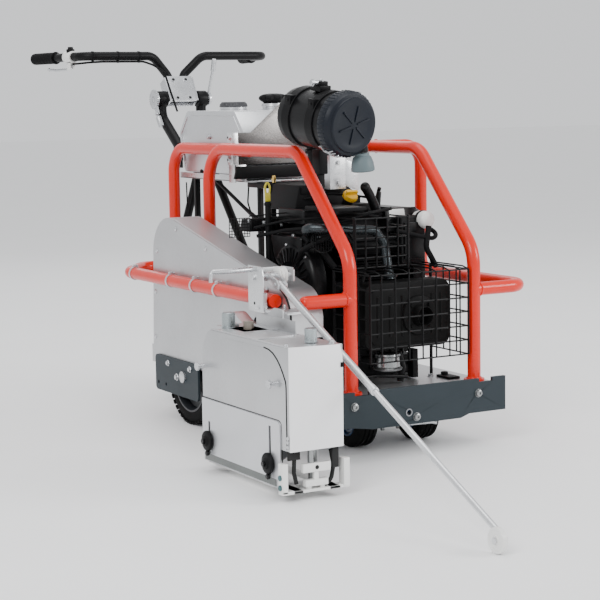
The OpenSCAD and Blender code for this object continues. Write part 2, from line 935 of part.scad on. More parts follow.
// A point along one end of the bar, from its corner (0) to its tip (1)
function bar_end(s, t) = [s * (bar_half_w + 55 * t), bar_y + 245 * t, bar_z - 2 * t];

module handle_grips() {
    color("#2a2a2a") for (s = [-1, 1])
        difference() {
            rod(bar_end(s, 0.58), bar_end(s, 1.03), 17);
            rod(bar_end(s, 0.5), bar_end(s, 1), bar_d / 2);
        }
}

module lever_bracket() {
    color("whitesmoke") difference() {
        union() {
            rod(bar_end(-1, 0.22), bar_end(-1, 0.38), bar_d / 2 + 4);
            box([-314, lever_y - 12, lever_z - 9], [-298, lever_y + 12, bar_z - 8]);
            z_cyl(bar_z + 8, bar_z + 22, -306, lever_y, 12);
        }
        z_cyl(bar_z + 17, bar_z + 23, -306, lever_y, 8.4);
        rod(bar_end(-1, 0.1), bar_end(-1, 0.5), bar_d / 2 + 0.02);
        box([-310, lever_y - 13, lever_z - 10], [-302, lever_y + 20, lever_z + 8]);
    }
    color("whitesmoke") x_cyl(-311, -301, lever_y, lever_z, 3);
}

module tilt_lever() {
    color("silver") {
        difference() {
            x_cyl(84, 92, tilt_y, tilt_z, 20);
            x_cyl(83, 93, tilt_y, tilt_z, 8.05);
        }
        rod([88, tilt_y - 4, tilt_z + 14], [96, tilt_y - 22, tilt_z + 85], 4);
        rod([96, tilt_y - 22, tilt_z + 85], [97, tilt_y - 28, tilt_z + 116], 8);
    }
}

lever_y = 1321;
lever_z = bar_z - 28;

module control_lever() {
    color("silver") difference() {
        union() {
            x_cyl(-309.5, -302.5, lever_y, lever_z, 6.5);
            rod([-306, lever_y + 4, lever_z], [-306, lever_y + 22, lever_z - 1], 3.4);
            sphere_at([-306, lever_y + 22, lever_z - 1], 3.6);
            rod([-306, lever_y + 22, lever_z - 1], [-330, lever_y + 105, lever_z - 8], 3.4);
        }
        x_cyl(-310, -302, lever_y, lever_z, 3.05);
    }
}

module stop_switch() {
    color("black")
        z_cyl(bar_z + 20.4, bar_z + 29, -306, lever_y, 8);
}

module control_cable() {
    color("black")
        bent_bar([[-304, 1308.6, 941], [-304, 1249, 944], [-104, 1249, 945], [-66, 1206, 912],
            [-34, 1186, 800]], [20, 20, 20], 3);
}

// ---- blade unit ----

housing_x1 = -housing_x;
housing_x0 = -housing_x - housing_w;
housing_y0 = -305;
housing_y1 = housing_y0 + housing_len;
blade_x = (housing_x0 + housing_x1) / 2;
blade_y = -102;
blade_z = 174;
post_r = 8;
post_at = [[-466, 42], [-425, -255]];
knob_y = [-221, 64];
knob_z = 72;
stud_r = 4;
stud_l = 14;
arm_w = 33;

module housing_outline(inset) {
    polygon([
        [housing_y0 + inset, 108], [housing_y0 + inset, housing_top_z - inset],
        [housing_y1 - 42, housing_top_z - inset], [housing_y1 - inset, 280],
        [housing_y1 - inset, 108]]);
}

module blade_housing() {
    color("gainsboro") difference() {
        union() {
            side_plate(housing_x0, housing_x1) housing_outline(0);
            // Lower skirt
            box([housing_x0, housing_y0 + 48, 22], [housing_x0 + housing_t, housing_y1, 108]);
            // Studs that the cover's knobs screw onto
            for (y = knob_y)
                x_cyl(housing_x0 - stud_l, housing_x0 + 1, y, knob_z, stud_r);
        }
        side_plate(housing_x0 + housing_t, housing_x1 - housing_t) housing_outline(housing_t);
        box([housing_x0 + housing_t, housing_y0 + housing_t, 100],
            [housing_x1 - housing_t, housing_y1 - housing_t, 112]);
        x_cyl(housing_x1 - 4, housing_x1 + 1, blade_y, blade_z, 16);
        for (p = post_at)
            z_cyl(housing_top_z - 10, housing_top_z + 1, p[0], p[1], post_r + 0.4);
    }
}

module swing_arm() {
    color("gainsboro") difference() {
        union() {
            box([housing_x1, blade_y - 45, blade_z - 45], [housing_x1 + arm_w, 40, 250]);
            side_plate(housing_x1, housing_x1 + arm_w) hull() {
                translate([0, 220]) circle(r = 30, $fn = 32);
                translate([swing_y, swing_z]) circle(r = 40, $fn = 32);
            }
            x_cyl(housing_x1 + arm_w, -240, swing_y, swing_z, swing_r);
        }
        x_cyl(housing_x1 - 1, housing_x1 + arm_w + 1, blade_y, blade_z, 30);
    }
}

module side_cover() {
    color("whitesmoke") difference() {
        side_plate(housing_x0 - 4, housing_x0 - 1)
            round_rect([housing_y0 + 40, 30], [housing_y1 - 2, 166], 10);
        for (k = [[knob_y[0], 152], [knob_y[1], 116]])
            box([housing_x0 - 5, k[0] - 4.5, 46], [housing_x0, k[0] + 4.5, k[1]]);
    }
}

module knob(y) {
    color("black") difference() {
        x_cyl(housing_x0 - 22, housing_x0 - 4.4, y, knob_z, 23);
        x_cyl(housing_x0 - stud_l - 0.6, housing_x0 - 4, y, knob_z, stud_r + 0.05);
    }
}

module front_knob() {
    knob(knob_y[0]);
}

module rear_knob() {
    knob(knob_y[1]);
}

module blade() {
    color("dimgray") {
        difference() {
            x_cyl(blade_x - blade_t / 2, blade_x + blade_t / 2, blade_y, blade_z, blade_d / 2);
            x_cyl(blade_x - 4, blade_x + 4, blade_y, blade_z, 12.5);
        }
    }
}

module blade_arbor() {
    color("gray") {
        x_cyl(blade_x - 20, blade_x - blade_t / 2, blade_y, blade_z, 34);
        x_cyl(blade_x + blade_t / 2, blade_x + 20, blade_y, blade_z, 34);
        x_cyl(blade_x - blade_t / 2, blade_x + blade_t / 2, blade_y, blade_z, 12.5);
        x_cyl(blade_x + 20, housing_x1 + 31, blade_y, blade_z, 12);
        x_cyl(housing_x1 + 5, housing_x1 + 29, blade_y, blade_z, 28);
    }
}

module skid_frame() {
    x0 = housing_x0 + 6;
    x1 = housing_x1 - 6;
    color("whitesmoke") {
        difference() {
            box([x0, housing_y0 + 6, 18], [x1, housing_y1 - 10, 24]);
            box([blade_x - 8, blade_y - 110, 17], [blade_x + 8, blade_y + 110, 25]);
        }
        // Front bar with an upright block outside each face of the housing
        box([housing_x0 - 18, housing_y0 + 5, 18], [housing_x1 + 16, housing_y0 + 24, 24]);
        box([housing_x0 - 18, housing_y0 + 5, 18], [housing_x0 - 4.6, housing_y0 + 24, 84]);
        box([housing_x1 + 1.6, housing_y0 + 5, 18], [housing_x1 + 16, housing_y0 + 24, 80]);
        // Posts that slide through the housing's top
        for (p = post_at)
            z_cyl(24, 350, p[0], p[1], post_r);
    }
}

// ---- the assembly ----

module place() {
    translate([origin_x, -origin_y, 0]) children();
}

place() deck_plate();
place() bumper_plate();
place() frame_bolts();
place() left_hoop();
place() right_hoop();
place() left_rail();
place() right_rail();
place() cross_tubes();
place() rail_clamps();
place() side_brackets();
place() axles();
place() engine_block();
place() cylinders();
place() blower_housing();
place() muffler();
place() wire_guards();
place() exhaust_pipe();
place() oil_filter();
place() air_cleaner();
place() air_cleaner_cover();
place() air_duct();
place() water_tank();
place() tank_tray();
place() drive_guard();
place() drive_belt();
place() guide_bracket();
place() handle_support();
place() front_wheel_left();
place() front_wheel_right();
place() rear_hub_left();
place() rear_hub_right();
place() rear_tyre_left();
place() rear_tyre_right();
place() tank_cap();
place() fuel_cap();
place() oil_cap();
place() dipstick();
place() choke_lever();
place() engine_pulley();
place() jack_pulley();
place() guide_arm();
place() guide_wheel();
place() cord_pulley();
place() lock_pin();
place() handlebar();
place() handle_grips();
place() clamp_block();
place() lever_bracket();
place() tilt_lever();
place() control_lever();
place() stop_switch();
place() control_cable();
place() blade_housing();
place() swing_arm();
place() side_cover();
place() front_knob();
place() rear_knob();
place() blade();
place() blade_arbor();
place() skid_frame();
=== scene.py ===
import json
from math import cos, pi, radians, sin, tan

import bmesh
import bpy
from mathutils import Matrix, Vector


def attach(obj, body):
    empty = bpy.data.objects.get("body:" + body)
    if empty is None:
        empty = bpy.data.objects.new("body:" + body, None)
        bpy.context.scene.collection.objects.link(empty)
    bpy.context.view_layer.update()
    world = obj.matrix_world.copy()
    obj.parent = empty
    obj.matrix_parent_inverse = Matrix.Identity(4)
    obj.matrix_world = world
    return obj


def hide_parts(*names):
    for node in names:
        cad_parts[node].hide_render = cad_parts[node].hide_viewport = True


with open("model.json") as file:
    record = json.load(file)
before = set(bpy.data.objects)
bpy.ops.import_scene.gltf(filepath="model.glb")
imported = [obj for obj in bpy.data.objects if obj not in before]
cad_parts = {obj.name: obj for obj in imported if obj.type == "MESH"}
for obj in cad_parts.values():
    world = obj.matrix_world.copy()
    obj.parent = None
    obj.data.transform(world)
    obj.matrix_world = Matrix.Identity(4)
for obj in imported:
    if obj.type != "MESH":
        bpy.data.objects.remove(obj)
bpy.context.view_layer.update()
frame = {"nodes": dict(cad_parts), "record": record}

MM = 0.001
# The CAD drawing's own zero, seen from the row frame
OX, OY = 0.08188, -0.31754
LEFT, RIGHT, FRONT, REAR, UP = (-1, 0, 0), (1, 0, 0), (0, -1, 0), (0, 1, 0), (0, 0, 1)

# Places and sizes of the drawing (mm) that several pieces share
FRONT_AXLE, REAR_AXLE = (123, 65), (600, 125)                # y and z
TUBE_R = 16                       # the frame's round tube
DECK_Z = 152                      # the deck's top
HOOP_X, HOOP_REAR, HOOP_Z = 173, 712, 706
RAIL_X, RAIL_Z = 326, 373
SKID_POSTS = ((-466, 42), (-425, -255))
KNOBS = (("front", -221), ("rear", 64))
KNOB_Z = 72


def P(x, y, z):
    """A point of the drawing, in mm from the hoops' front legs, in the row frame."""
    return Vector((x * MM + OX, y * MM + OY, z * MM))


# ---------------------------------------------------------------- materials

def tree(name):
    m = bpy.data.materials.new(name)
    m.use_nodes = True
    nt = m.node_tree
    b = next(n for n in nt.nodes if n.type == "BSDF_PRINCIPLED")
    return m, nt, b


def coords(nt, scale=(1, 1, 1)):
    tc = nt.nodes.new("ShaderNodeTexCoord")
    mp = nt.nodes.new("ShaderNodeMapping")
    mp.inputs["Scale"].default_value = scale
    nt.links.new(tc.outputs["Object"], mp.inputs["Vector"])
    return mp.outputs["Vector"]


def noise(nt, vec, scale, detail=3.0, rough=0.5):
    n = nt.nodes.new("ShaderNodeTexNoise")
    n.inputs["Scale"].default_value = scale
    n.inputs["Detail"].default_value = detail
    n.inputs["Roughness"].default_value = rough
    nt.links.new(vec, n.inputs["Vector"])
    return n.outputs["Fac"]


def ramp(nt, fac, stops):
    r = nt.nodes.new("ShaderNodeValToRGB")
    e = r.color_ramp.elements
    while len(e) < len(stops):
        e.new(0.5)
    for i, (p, c) in enumerate(stops):
        e[i].position = p
        e[i].color = c if len(c) == 4 else (*c, 1)
    nt.links.new(fac, r.inputs["Fac"])
    return r.outputs["Color"]


def grey_ramp(nt, fac, lo, hi, a=0.3, b=0.7):
    return ramp(nt, fac, [(a, (lo, lo, lo)), (b, (hi, hi, hi))])


def bump(nt, height, strength, distance):
    b = nt.nodes.new("ShaderNodeBump")
    b.inputs["Strength"].default_value = strength
    b.inputs["Distance"].default_value = distance
    nt.links.new(height, b.inputs["Height"])
    return b.outputs["Normal"]


def surface(name, color, rough, metal=0.0, vary=0.06, rough_vary=0.06, grain=260.0,
            grain_depth=0.00003, grain_strength=0.2, coat=0.0, coat_rough=0.1,
            stretch=(1, 1, 1), spec=0.5, blotch=6.0):
    """A finish with uneven colour, uneven gloss and a fine surface grain."""
    m, nt, b = tree(name)
    vec = coords(nt)
    big = noise(nt, vec, blotch, 4.0, 0.55)
    dark = tuple(max(0.0, c * (1 - vary)) for c in color)
    light = tuple(min(1.0, c * (1 + vary)) for c in color)
    nt.links.new(ramp(nt, big, [(0.3, dark), (0.7, light)]), b.inputs["Base Color"])
    fine = noise(nt, coords(nt, stretch), grain, 3.0, 0.6)
    nt.links.new(grey_ramp(nt, fine, max(0.02, rough - rough_vary), min(1.0, rough + rough_vary)),
                 b.inputs["Roughness"])
    nt.links.new(bump(nt, fine, grain_strength, grain_depth), b.inputs["Normal"])
    b.inputs["Metallic"].default_value = metal
    b.inputs["Specular IOR Level"].default_value = spec
    if coat:
        b.inputs["Coat Weight"].default_value = coat
        b.inputs["Coat Roughness"].default_value = coat_rough
    return m


M = {
    "orange": surface("orange_coat", (0.66, 0.012, 0.0001), 0.30, vary=0.05, grain=420.0,
        grain_depth=0.00002, coat=0.25, coat_rough=0.1, spec=0.3),
    "slate": surface("slate_paint", (0.022, 0.031, 0.037), 0.45, vary=0.08, grain=520.0,
        grain_strength=0.3, spec=0.2),
    "black_paint": surface("black_paint", (0.005, 0.005, 0.0055), 0.38, vary=0.2, grain=480.0,
        grain_strength=0.3, spec=0.15),
    "engine_black": surface("cast_black", (0.005, 0.005, 0.0055), 0.5, spec=0.1, vary=0.25,
        grain=300.0, grain_depth=0.00015, grain_strength=0.55),
    "plate_silver": surface("brushed_plate", (0.56, 0.565, 0.575), 0.38, metal=0.9, vary=0.05,
        rough_vary=0.09, grain=160.0, stretch=(14, 1, 1), grain_strength=0.12),
    "white_steel": surface("zinc_steel", (0.60, 0.61, 0.625), 0.28, metal=0.9, vary=0.07,
        rough_vary=0.1, grain=220.0, grain_strength=0.15, blotch=30.0),
    "blue_hub": surface("blue_hub", (0.004, 0.035, 0.10), 0.36, vary=0.1, grain=300.0,
        coat=0.3),
    "hub_grey": surface("hub_grey", (0.02, 0.022, 0.026), 0.42, vary=0.1, grain=300.0),
    "tyre": surface("tyre_rubber", (0.006, 0.006, 0.006), 0.75, vary=0.25, grain=380.0,
        grain_depth=0.0001, grain_strength=0.5, spec=0.1),
    "rubber": surface("rubber", (0.005, 0.005, 0.0055), 0.6, vary=0.2, grain=420.0,
        grain_depth=0.00006, grain_strength=0.35, spec=0.12),
    "black_plastic": surface("grained_plastic", (0.005, 0.005, 0.0055), 0.48, spec=0.12,
        vary=0.15, grain=700.0, grain_depth=0.00006, grain_strength=0.4),
    "gloss_black": surface("gloss_black", (0.003, 0.003, 0.0035), 0.25, vary=0.1, grain=200.0,
        spec=0.25, coat=0.15, coat_rough=0.06),
    "tank_silver": surface("satin_tank", (0.66, 0.67, 0.685), 0.32, metal=0.9, vary=0.04,
        rough_vary=0.07, grain=140.0, stretch=(1, 12, 1), grain_strength=0.1),
    "yellow_plastic": surface("yellow_plastic", (0.72, 0.40, 0.003), 0.38, vary=0.05,
        coat=0.3),
    "white_paint": surface("white_paint", (0.80, 0.80, 0.78), 0.34, vary=0.03, coat=0.3),
    "grey_steel": surface("machined_steel", (0.25, 0.255, 0.27), 0.32, metal=0.9, vary=0.1,
        grain=260.0, stretch=(1, 1, 8)),
    "grey_plastic": surface("grey_plastic", (0.035, 0.036, 0.04), 0.42, vary=0.1,
        grain=600.0),
    "brass": surface("brass", (0.72, 0.50, 0.16), 0.28, metal=0.95, vary=0.1),
    "teal_oxide": surface("anodised_teal", (0.05, 0.12, 0.13), 0.35, metal=0.4, vary=0.1),
    "label": surface("blank_label", (0.82, 0.82, 0.80), 0.5, vary=0.03),
    # also used for a dark disc of painted shade that stands for a hole
    "seal": surface("foam_seal_and_hole_shade", (0.01, 0.01, 0.01), 0.85, vary=0.2, grain=500.0,
        grain_depth=0.0001, grain_strength=0.5),
    "dark_gap": surface("shadow_gap", (0.004, 0.004, 0.004), 0.8, vary=0.1),
    "spacer": surface("weathered_spacer", (0.22, 0.19, 0.16), 0.6, vary=0.25, blotch=60.0),
    # a brighter, less metallic copy of the housing's plate: painted light on the front face, which
    # faces the key light
    "front_sheet_lit": surface("front_sheet_painted_light", (0.90, 0.90, 0.91), 0.42, metal=0.2, vary=0.03,
        rough_vary=0.06, grain=150.0, stretch=(1, 1, 12), grain_strength=0.06),
    "cover_white": surface("cover_sheet", (0.66, 0.67, 0.69), 0.42, metal=0.75, vary=0.04,
        rough_vary=0.07, grain=150.0, stretch=(1, 1, 10), grain_strength=0.08),
    "bracket_white": surface("bracket_zinc", (0.68, 0.69, 0.70), 0.33, metal=0.8, vary=0.06,
        rough_vary=0.1, grain=200.0, grain_strength=0.12, blotch=25.0),
    "cleaner_black": surface("cleaner_black", (0.004, 0.004, 0.0045), 0.36, spec=0.16,
        vary=0.15, grain=520.0, grain_depth=0.00005, grain_strength=0.3, coat=0.05,
        coat_rough=0.25),
    "muffler_black": surface("heat_black", (0.005, 0.005, 0.005), 0.5, spec=0.1, vary=0.25,
        grain=420.0, grain_depth=0.00008, grain_strength=0.4),
    "gloss_paint_black": surface("shroud_black", (0.004, 0.004, 0.0045), 0.32, vary=0.15,
        grain=380.0, spec=0.2),
    "post_grey": surface("post_steel", (0.36, 0.40, 0.41), 0.3, metal=0.85, vary=0.12),
    "strip_grey": surface("dull_strip", (0.16, 0.17, 0.165), 0.4, metal=0.7, vary=0.15),
    "valve_grey": surface("valve_rubber", (0.10, 0.135, 0.145), 0.5, vary=0.12, spec=0.35),
    "pipe_dark": surface("heat_tinted_pipe", (0.04, 0.047, 0.051), 0.3, metal=0.85, vary=0.2,
        blotch=25.0),
    "shield_steel": surface("polished_shield", (0.17, 0.16, 0.155), 0.24, metal=0.95,
        vary=0.18, rough_vary=0.08, grain=160.0, stretch=(1, 1, 14), grain_strength=0.1,
        blotch=4.0),
    "olive_plastic": surface("olive_plastic", (0.42, 0.36, 0.02), 0.4, vary=0.08, coat=0.2),
    "cap_face": surface("cover_face", (0.005, 0.0075, 0.013), 0.4, vary=0.12, grain=500.0,
        grain_depth=0.00005, grain_strength=0.3, spec=0.22),
    "chrome": surface("bright_pipe", (0.30, 0.31, 0.31), 0.3, metal=0.9, vary=0.05,
        rough_vary=0.06, blotch=40.0),
}

# ---------------------------------------------------------------- shape helpers

def bevel_bm(bm, width, angle=30, segments=2):
    edges = [e for e in bm.edges if len(e.link_faces) == 2
        and e.calc_face_angle(0) > radians(angle)]
    if edges and width > 0:
        bmesh.ops.bevel(bm, geom=edges, offset=width, segments=segments, profile=0.6,
            affect="EDGES", clamp_overlap=True)


def angles(n, start=0):
    """n angles spread evenly round a circle, from start degrees."""
    return [radians(start) + 2 * pi * i / n for i in range(n)]


def yz(x, y, z, r, a):
    """The point at angle a on a circle across X."""
    return (x, y + r * cos(a), z + r * sin(a))


def xy(x, y, z, r, a):
    """The point at angle a on a level circle."""
    return (x + r * cos(a), y + r * sin(a), z)


def about(point, angle, axis):
    """A turn by an angle in radians about an axis through a point (mm)."""
    c = P(*point)
    return Matrix.Translation(c) @ Matrix.Rotation(angle, 4, axis) @ Matrix.Translation(-c)


class Kit:
    """Gathers simple shapes into one piece."""

    def __init__(self):
        self.bm = bmesh.new()

    def add(self, bm):
        me = bpy.data.meshes.new("tmp")
        bm.to_mesh(me)
        bm.free()
        self.bm.from_mesh(me)
        bpy.data.meshes.remove(me)
        return self

    def box(self, lo, hi, bevel=0.8, matrix=None, segments=2):
        bm = bmesh.new()
        bmesh.ops.create_cube(bm, size=1)
        lo, hi = P(*lo), P(*hi)
        s, c = hi - lo, (hi + lo) / 2
        bmesh.ops.transform(bm, matrix=Matrix.Translation(c) @ Matrix.Diagonal((*s, 1)),
            verts=bm.verts)
        bevel_bm(bm, bevel * MM, segments=segments)
        if matrix is not None:
            bmesh.ops.transform(bm, matrix=matrix, verts=bm.verts)
        return self.add(bm)

    def rod(self, a, b, r, seg=20, bevel=0.0, r2=None):
        a, b = P(*a), P(*b)
        d = b - a
        bm = bmesh.new()
        bmesh.ops.create_cone(bm, cap_ends=True, segments=seg, radius1=r * MM,
            radius2=(r if r2 is None else r2) * MM, depth=d.length)
        bevel_bm(bm, bevel * MM, angle=60)
        q = d.to_track_quat("Z", "Y").to_matrix().to_4x4()
        bmesh.ops.transform(bm, matrix=Matrix.Translation((a + b) / 2) @ q, verts=bm.verts)
        return self.add(bm)

    def ball(self, c, r, seg=20):
        bm = bmesh.new()
        bmesh.ops.create_uvsphere(bm, u_segments=seg, v_segments=seg // 2, radius=r * MM)
        bmesh.ops.transform(bm, matrix=Matrix.Translation(P(*c)), verts=bm.verts)
        return self.add(bm)

    def tube(self, pts, r, seg=14, bend=0):
        """A round bar along pts; each inner corner is rounded by radius bend."""
        path = [P(*p) for p in pts]
        if bend:
            path = round_path(path, bend * MM)
        bm = bmesh.new()
        sweep_into(bm, path, r * MM, seg)
        return self.add(bm)

    def lathe(self, prof, centre, axis, seg=48):
        """prof is a list of (distance along the axis, radius) in mm, turned round axis."""
        bm = bmesh.new()
        rings = []
        for h, r in prof:
            if r <= 1e-6:
                rings.append([bm.verts.new((0, 0, h * MM))])
            else:
                rings.append([bm.verts.new((r * MM * cos(a), r * MM * sin(a), h * MM))
                    for a in angles(seg)])
        for a, b in zip(rings, rings[1:]):
            for i in range(seg):
                j = (i + 1) % seg
                if len(a) == 1 and len(b) == 1:
                    continue
                if len(a) == 1:
                    bm.faces.new((a[0], b[i], b[j]))
                elif len(b) == 1:
                    bm.faces.new((a[i], b[0], a[j]))
                else:
                    bm.faces.new((a[i], b[i], b[j], a[j]))
        q = Vector(axis).to_track_quat("Z", "Y").to_matrix().to_4x4()
        bmesh.ops.transform(bm, matrix=Matrix.Translation(P(*centre)) @ q, verts=bm.verts)
        return self.add(bm)

    def solid(self, prof, centre, axis, seg=48):
        """The same, with both ends of prof closed straight onto the axis."""
        return self.lathe([(prof[0][0], 0), *prof, (prof[-1][0], 0)], centre, axis, seg)

    def plate(self, outline, a, b, plane="YZ", bevel=0.6):
        """An outline (mm) in one plane, made solid from a to b along the third axis."""
        bm = bmesh.new()

        def at(u, v, w):
            return {"YZ": P(w, u, v), "XZ": P(u, w, v), "XY": P(u, v, w)}[plane]
        lo = [bm.verts.new(at(u, v, a)) for u, v in outline]
        f = bm.faces.new(lo)
        r = bmesh.ops.extrude_face_region(bm, geom=[f])
        step = at(0, 0, b) - at(0, 0, a)
        bmesh.ops.translate(bm, vec=step, verts=[g for g in r["geom"] if isinstance(g,
            bmesh.types.BMVert)])
        bmesh.ops.recalc_face_normals(bm, faces=bm.faces)
        bevel_bm(bm, bevel * MM, angle=25)
        return self.add(bm)

    def hexbolt(self, at, axis, r=6.0, h=4.5, washer=True):
        a = Vector(axis).normalized()
        p = Vector(at)
        if washer:
            self.lathe([(0, 0), (0, r * 1.35), (1.2, r * 1.35), (1.2, 0)], p, a, 24)
            p = p + a * 1.2
        self.lathe([(0, 0), (0, r), (h - 0.7, r), (h, r * 0.82), (h, 0)], p, a, 6)
        return self

    def make(self, name, slot, mat=None, body="chassis", node=None, smooth=35):
        """One piece from all the shapes; node is the CAD node that it is shown in place of."""
        me = bpy.data.meshes.new(name)
        bmesh.ops.recalc_face_normals(self.bm, faces=self.bm.faces)
        self.bm.to_mesh(me)
        self.bm.free()
        o = bpy.data.objects.new(name, me)
        bpy.context.scene.collection.objects.link(o)
        me.materials.append(M[mat or slot])
        for p in me.polygons:
            p.use_smooth = True
        me.set_sharp_from_angle(angle=radians(smooth))
        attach(o, body)
        if node:
            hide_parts(node)


def round_path(pts, radius, steps=8):
    out = [pts[0]]
    for a, p, b in zip(pts, pts[1:], pts[2:]):
        u, v = (a - p).normalized(), (b - p).normalized()
        half = u.angle(v) / 2
        if half > radians(88):
            out.append(p)
            continue
        k = min(radius / tan(half), (a - p).length * 0.48, (b - p).length * 0.48)
        r = k * tan(half)
        c = p + (u + v).normalized() * (r / sin(half))
        s, e = p + u * k - c, p + v * k - c
        turn = s.angle(e)
        for i in range(steps + 1):
            t = i / steps
            out.append(c + (s * sin((1 - t) * turn) + e * sin(t * turn)) / sin(turn))
    out.append(pts[-1])
    return out


def sweep_into(bm, path, r, seg, closed=False):
    n = len(path)
    tans = []
    for i in range(n):
        a = path[i - 1] if (i > 0 or closed) else path[i]
        b = path[(i + 1) % n] if (i < n - 1 or closed) else path[i]
        tans.append((b - a).normalized())
    up = Vector(UP) if abs(tans[0].z) < 0.9 else Vector(RIGHT)
    x = tans[0].cross(up).normalized()
    rings = []
    for i in range(n):
        if i:
            x = (x - tans[i] * x.dot(tans[i])).normalized()
        y = tans[i].cross(x)
        rr = r[i] if isinstance(r, (list, tuple)) else r
        rings.append([bm.verts.new(path[i] + (x * cos(a) + y * sin(a)) * rr) for a in angles(seg)])
    last = n if closed else n - 1
    for i in range(last):
        a, b = rings[i], rings[(i + 1) % n]
        for k in range(seg):
            j = (k + 1) % seg
            bm.faces.new((a[k], a[j], b[j], b[k]))
    if not closed:
        bm.faces.new(rings[0][::-1])
        bm.faces.new(rings[-1])


def arc(cy, cz, r, a0, a1, n=12):
    return [(cy + r * cos(radians(a0 + (a1 - a0) * i / n)), cz
        + r * sin(radians(a0 + (a1 - a0) * i / n))) for i in range(n + 1)]


def round_rect(a, b, r, n=6):
    (x0, z0), (x1, z1) = a, b
    return (arc(x1 - r, z1 - r, r, 0, 90, n) + arc(x0 + r, z1 - r, r, 90, 180, n) + arc(x0 + r, z0
        + r, r, 180, 270, n) + arc(x1 - r, z0 + r, r, 270, 360, n))

# ---------------------------------------------------------------- the CAD nodes

SLOT_OF = {s["node"]: s["material_slot"] for s in frame["record"]["subparts"]}
NODE_BEVEL = {"left_hoop": 0, "right_hoop": 0, "left_rail": 0, "right_rail": 0, "cross_tubes": 0,
    "handlebar": 0, "control_cable": 0, "exhaust_pipe": 0, "wire_guards": 0, "blade": 0.3,
    "drive_belt": 0.4, "guide_wheel": 1.0}
for name, o in frame["nodes"].items():
    o.data.materials.clear()
    o.data.materials.append(M[SLOT_OF[name]])
    width = NODE_BEVEL.get(name, 0.8)
    weld = o.modifiers.new("weld", "WELD")
    weld.merge_threshold = 0.00002
    if width:
        bev = o.modifiers.new("edge", "BEVEL")
        bev.width = width * MM
        bev.segments = 2
        bev.limit_method = "ANGLE"
        bev.angle_limit = radians(40)
        bev.miter_outer = "MITER_ARC"
        bev.use_clamp_overlap = True
    soft = o.modifiers.new("normals", "WEIGHTED_NORMAL")
    soft.keep_sharp = True

# ---------------------------------------------------------------- blade unit

XO, XI = -505.0, -377.0           # the housing's outer and inner faces
UNIT, SKID = "blade_unit", "skid"

side = ([(98, 108), (98, 236)] + [(92, 252), (80, 268), (64, 282), (46, 293), (26, 303), (4, 310),
    (-18, 314)] + [(-196, 314), (-216, 312), (-234, 306), (-250, 296), (-264, 283), (-276, 268),
    (-286, 252)] + [(-288, 240), (-288, 108)])
box_side = [(-303, 108), (-303, 324), (56, 324), (70, 318), (97, 284), (97, 108)]

k = Kit()
k.plate(box_side, XO, XO + 3, "YZ", 0.5)
k.plate(box_side, XI - 3, XI, "YZ", 0.5)
k.box((XO + 0.5, -303, 321), (XI - 0.5, 57, 324.5), 0.8)
k.plate([(56, 324.4), (71, 318), (98, 284), (95.5, 282), (69, 315), (55, 321)], XO + 0.5, XI - 0.5,
    "YZ", 0.3)
k.box((XO + 0.5, 95.2, 108), (XI - 0.5, 98, 285), 0.5)
k.box((XO + 0.2, -256, 22), (XO + 2.6, 100, 112), 0.4)
for z in (30, 36.5, 43):
    k.box((XO - 0.5, -252, z), (XO + 0.4, 97, z + 2.2), 0.2)
k.make("housing_shell", "plate_silver", body=UNIT, node="blade_housing")

k = Kit()
k.plate(side, XO - 0.9, XO - 0.1, "YZ", 0.3)
k.make("housing_side_sheet", "plate_silver", body=UNIT)

# the housing's front sheet, in a lighter copy of its plate finish: painted light
k = Kit()
k.plate([(-378, 108), (-506.5, 108), (-506.5, 327), (-383, 324), (-378, 300), (-377, 276)], -304.9,
    -303.0, "XZ", 0.4)
k.make("housing_front_sheet", "plate_silver", "front_sheet_lit", body=UNIT)

# dark lines along the side sheet's edge and along the lower cover's top and front edges: painted
# shade in the seams
k = Kit()
edge = [(-196, 315.2), (-218, 313), (-236, 307), (-252, 297), (-266, 284), (-278, 269),
    (-288, 253), (-289.6, 240), (-289.6, 112)]
k.tube([(XO - 0.3, y, z) for y, z in edge], 1.5, 8, 14)
k.tube([(XO - 0.2, y, z) for y, z in [(98, 167.6), (-258, 168.2), (-267, 163), (-268.6, 152),
    (-268.6, 34)]], 1.3, 8, 6)
k.make("housing_seam_shade_lines", "rubber", "dark_gap", body=UNIT)

k = Kit()
for y, z in ((99, 239), (-247, 245)):
    k.solid([(0, 5), (9, 5), (9, 3.2), (14, 3.2), (14, 8.6), (15, 9.6), (19, 9.6), (20, 8.6)],
        (XO - 0.8, min(y, 90), z), LEFT, 32)
k.solid([(0, 7), (2, 7), (2, 5), (7, 5), (8, 4)], (XO + 6, -282, 324), UP, 24)
k.solid([(0, 7), (2, 7), (2, 5), (7, 5), (8, 4)], (XI - 14, -282, 324), UP, 24)
for z in (128, 136, 118):
    k.solid([(0, 4.2), (3, 4.2)], (XO - 0.6, -297, z), LEFT, 20)
k.make("housing_screws", "white_steel", body=UNIT)

k = Kit()
k.box((XI - 6, -306.5, 276), (XI + 1.5, -304.5, 286), 0.4)
k.make("housing_clip", "black_plastic", body=UNIT)

# lip round the top of the housing
k = Kit()
k.box((XO + 4, -150, 324.6), (XI - 30, 40, 327.5), 0.5)
k.box((XO + 1, -300, 324.6), (XO + 4, 54, 328), 0.5)
k.make("housing_top_lip", "plate_silver", body=UNIT)

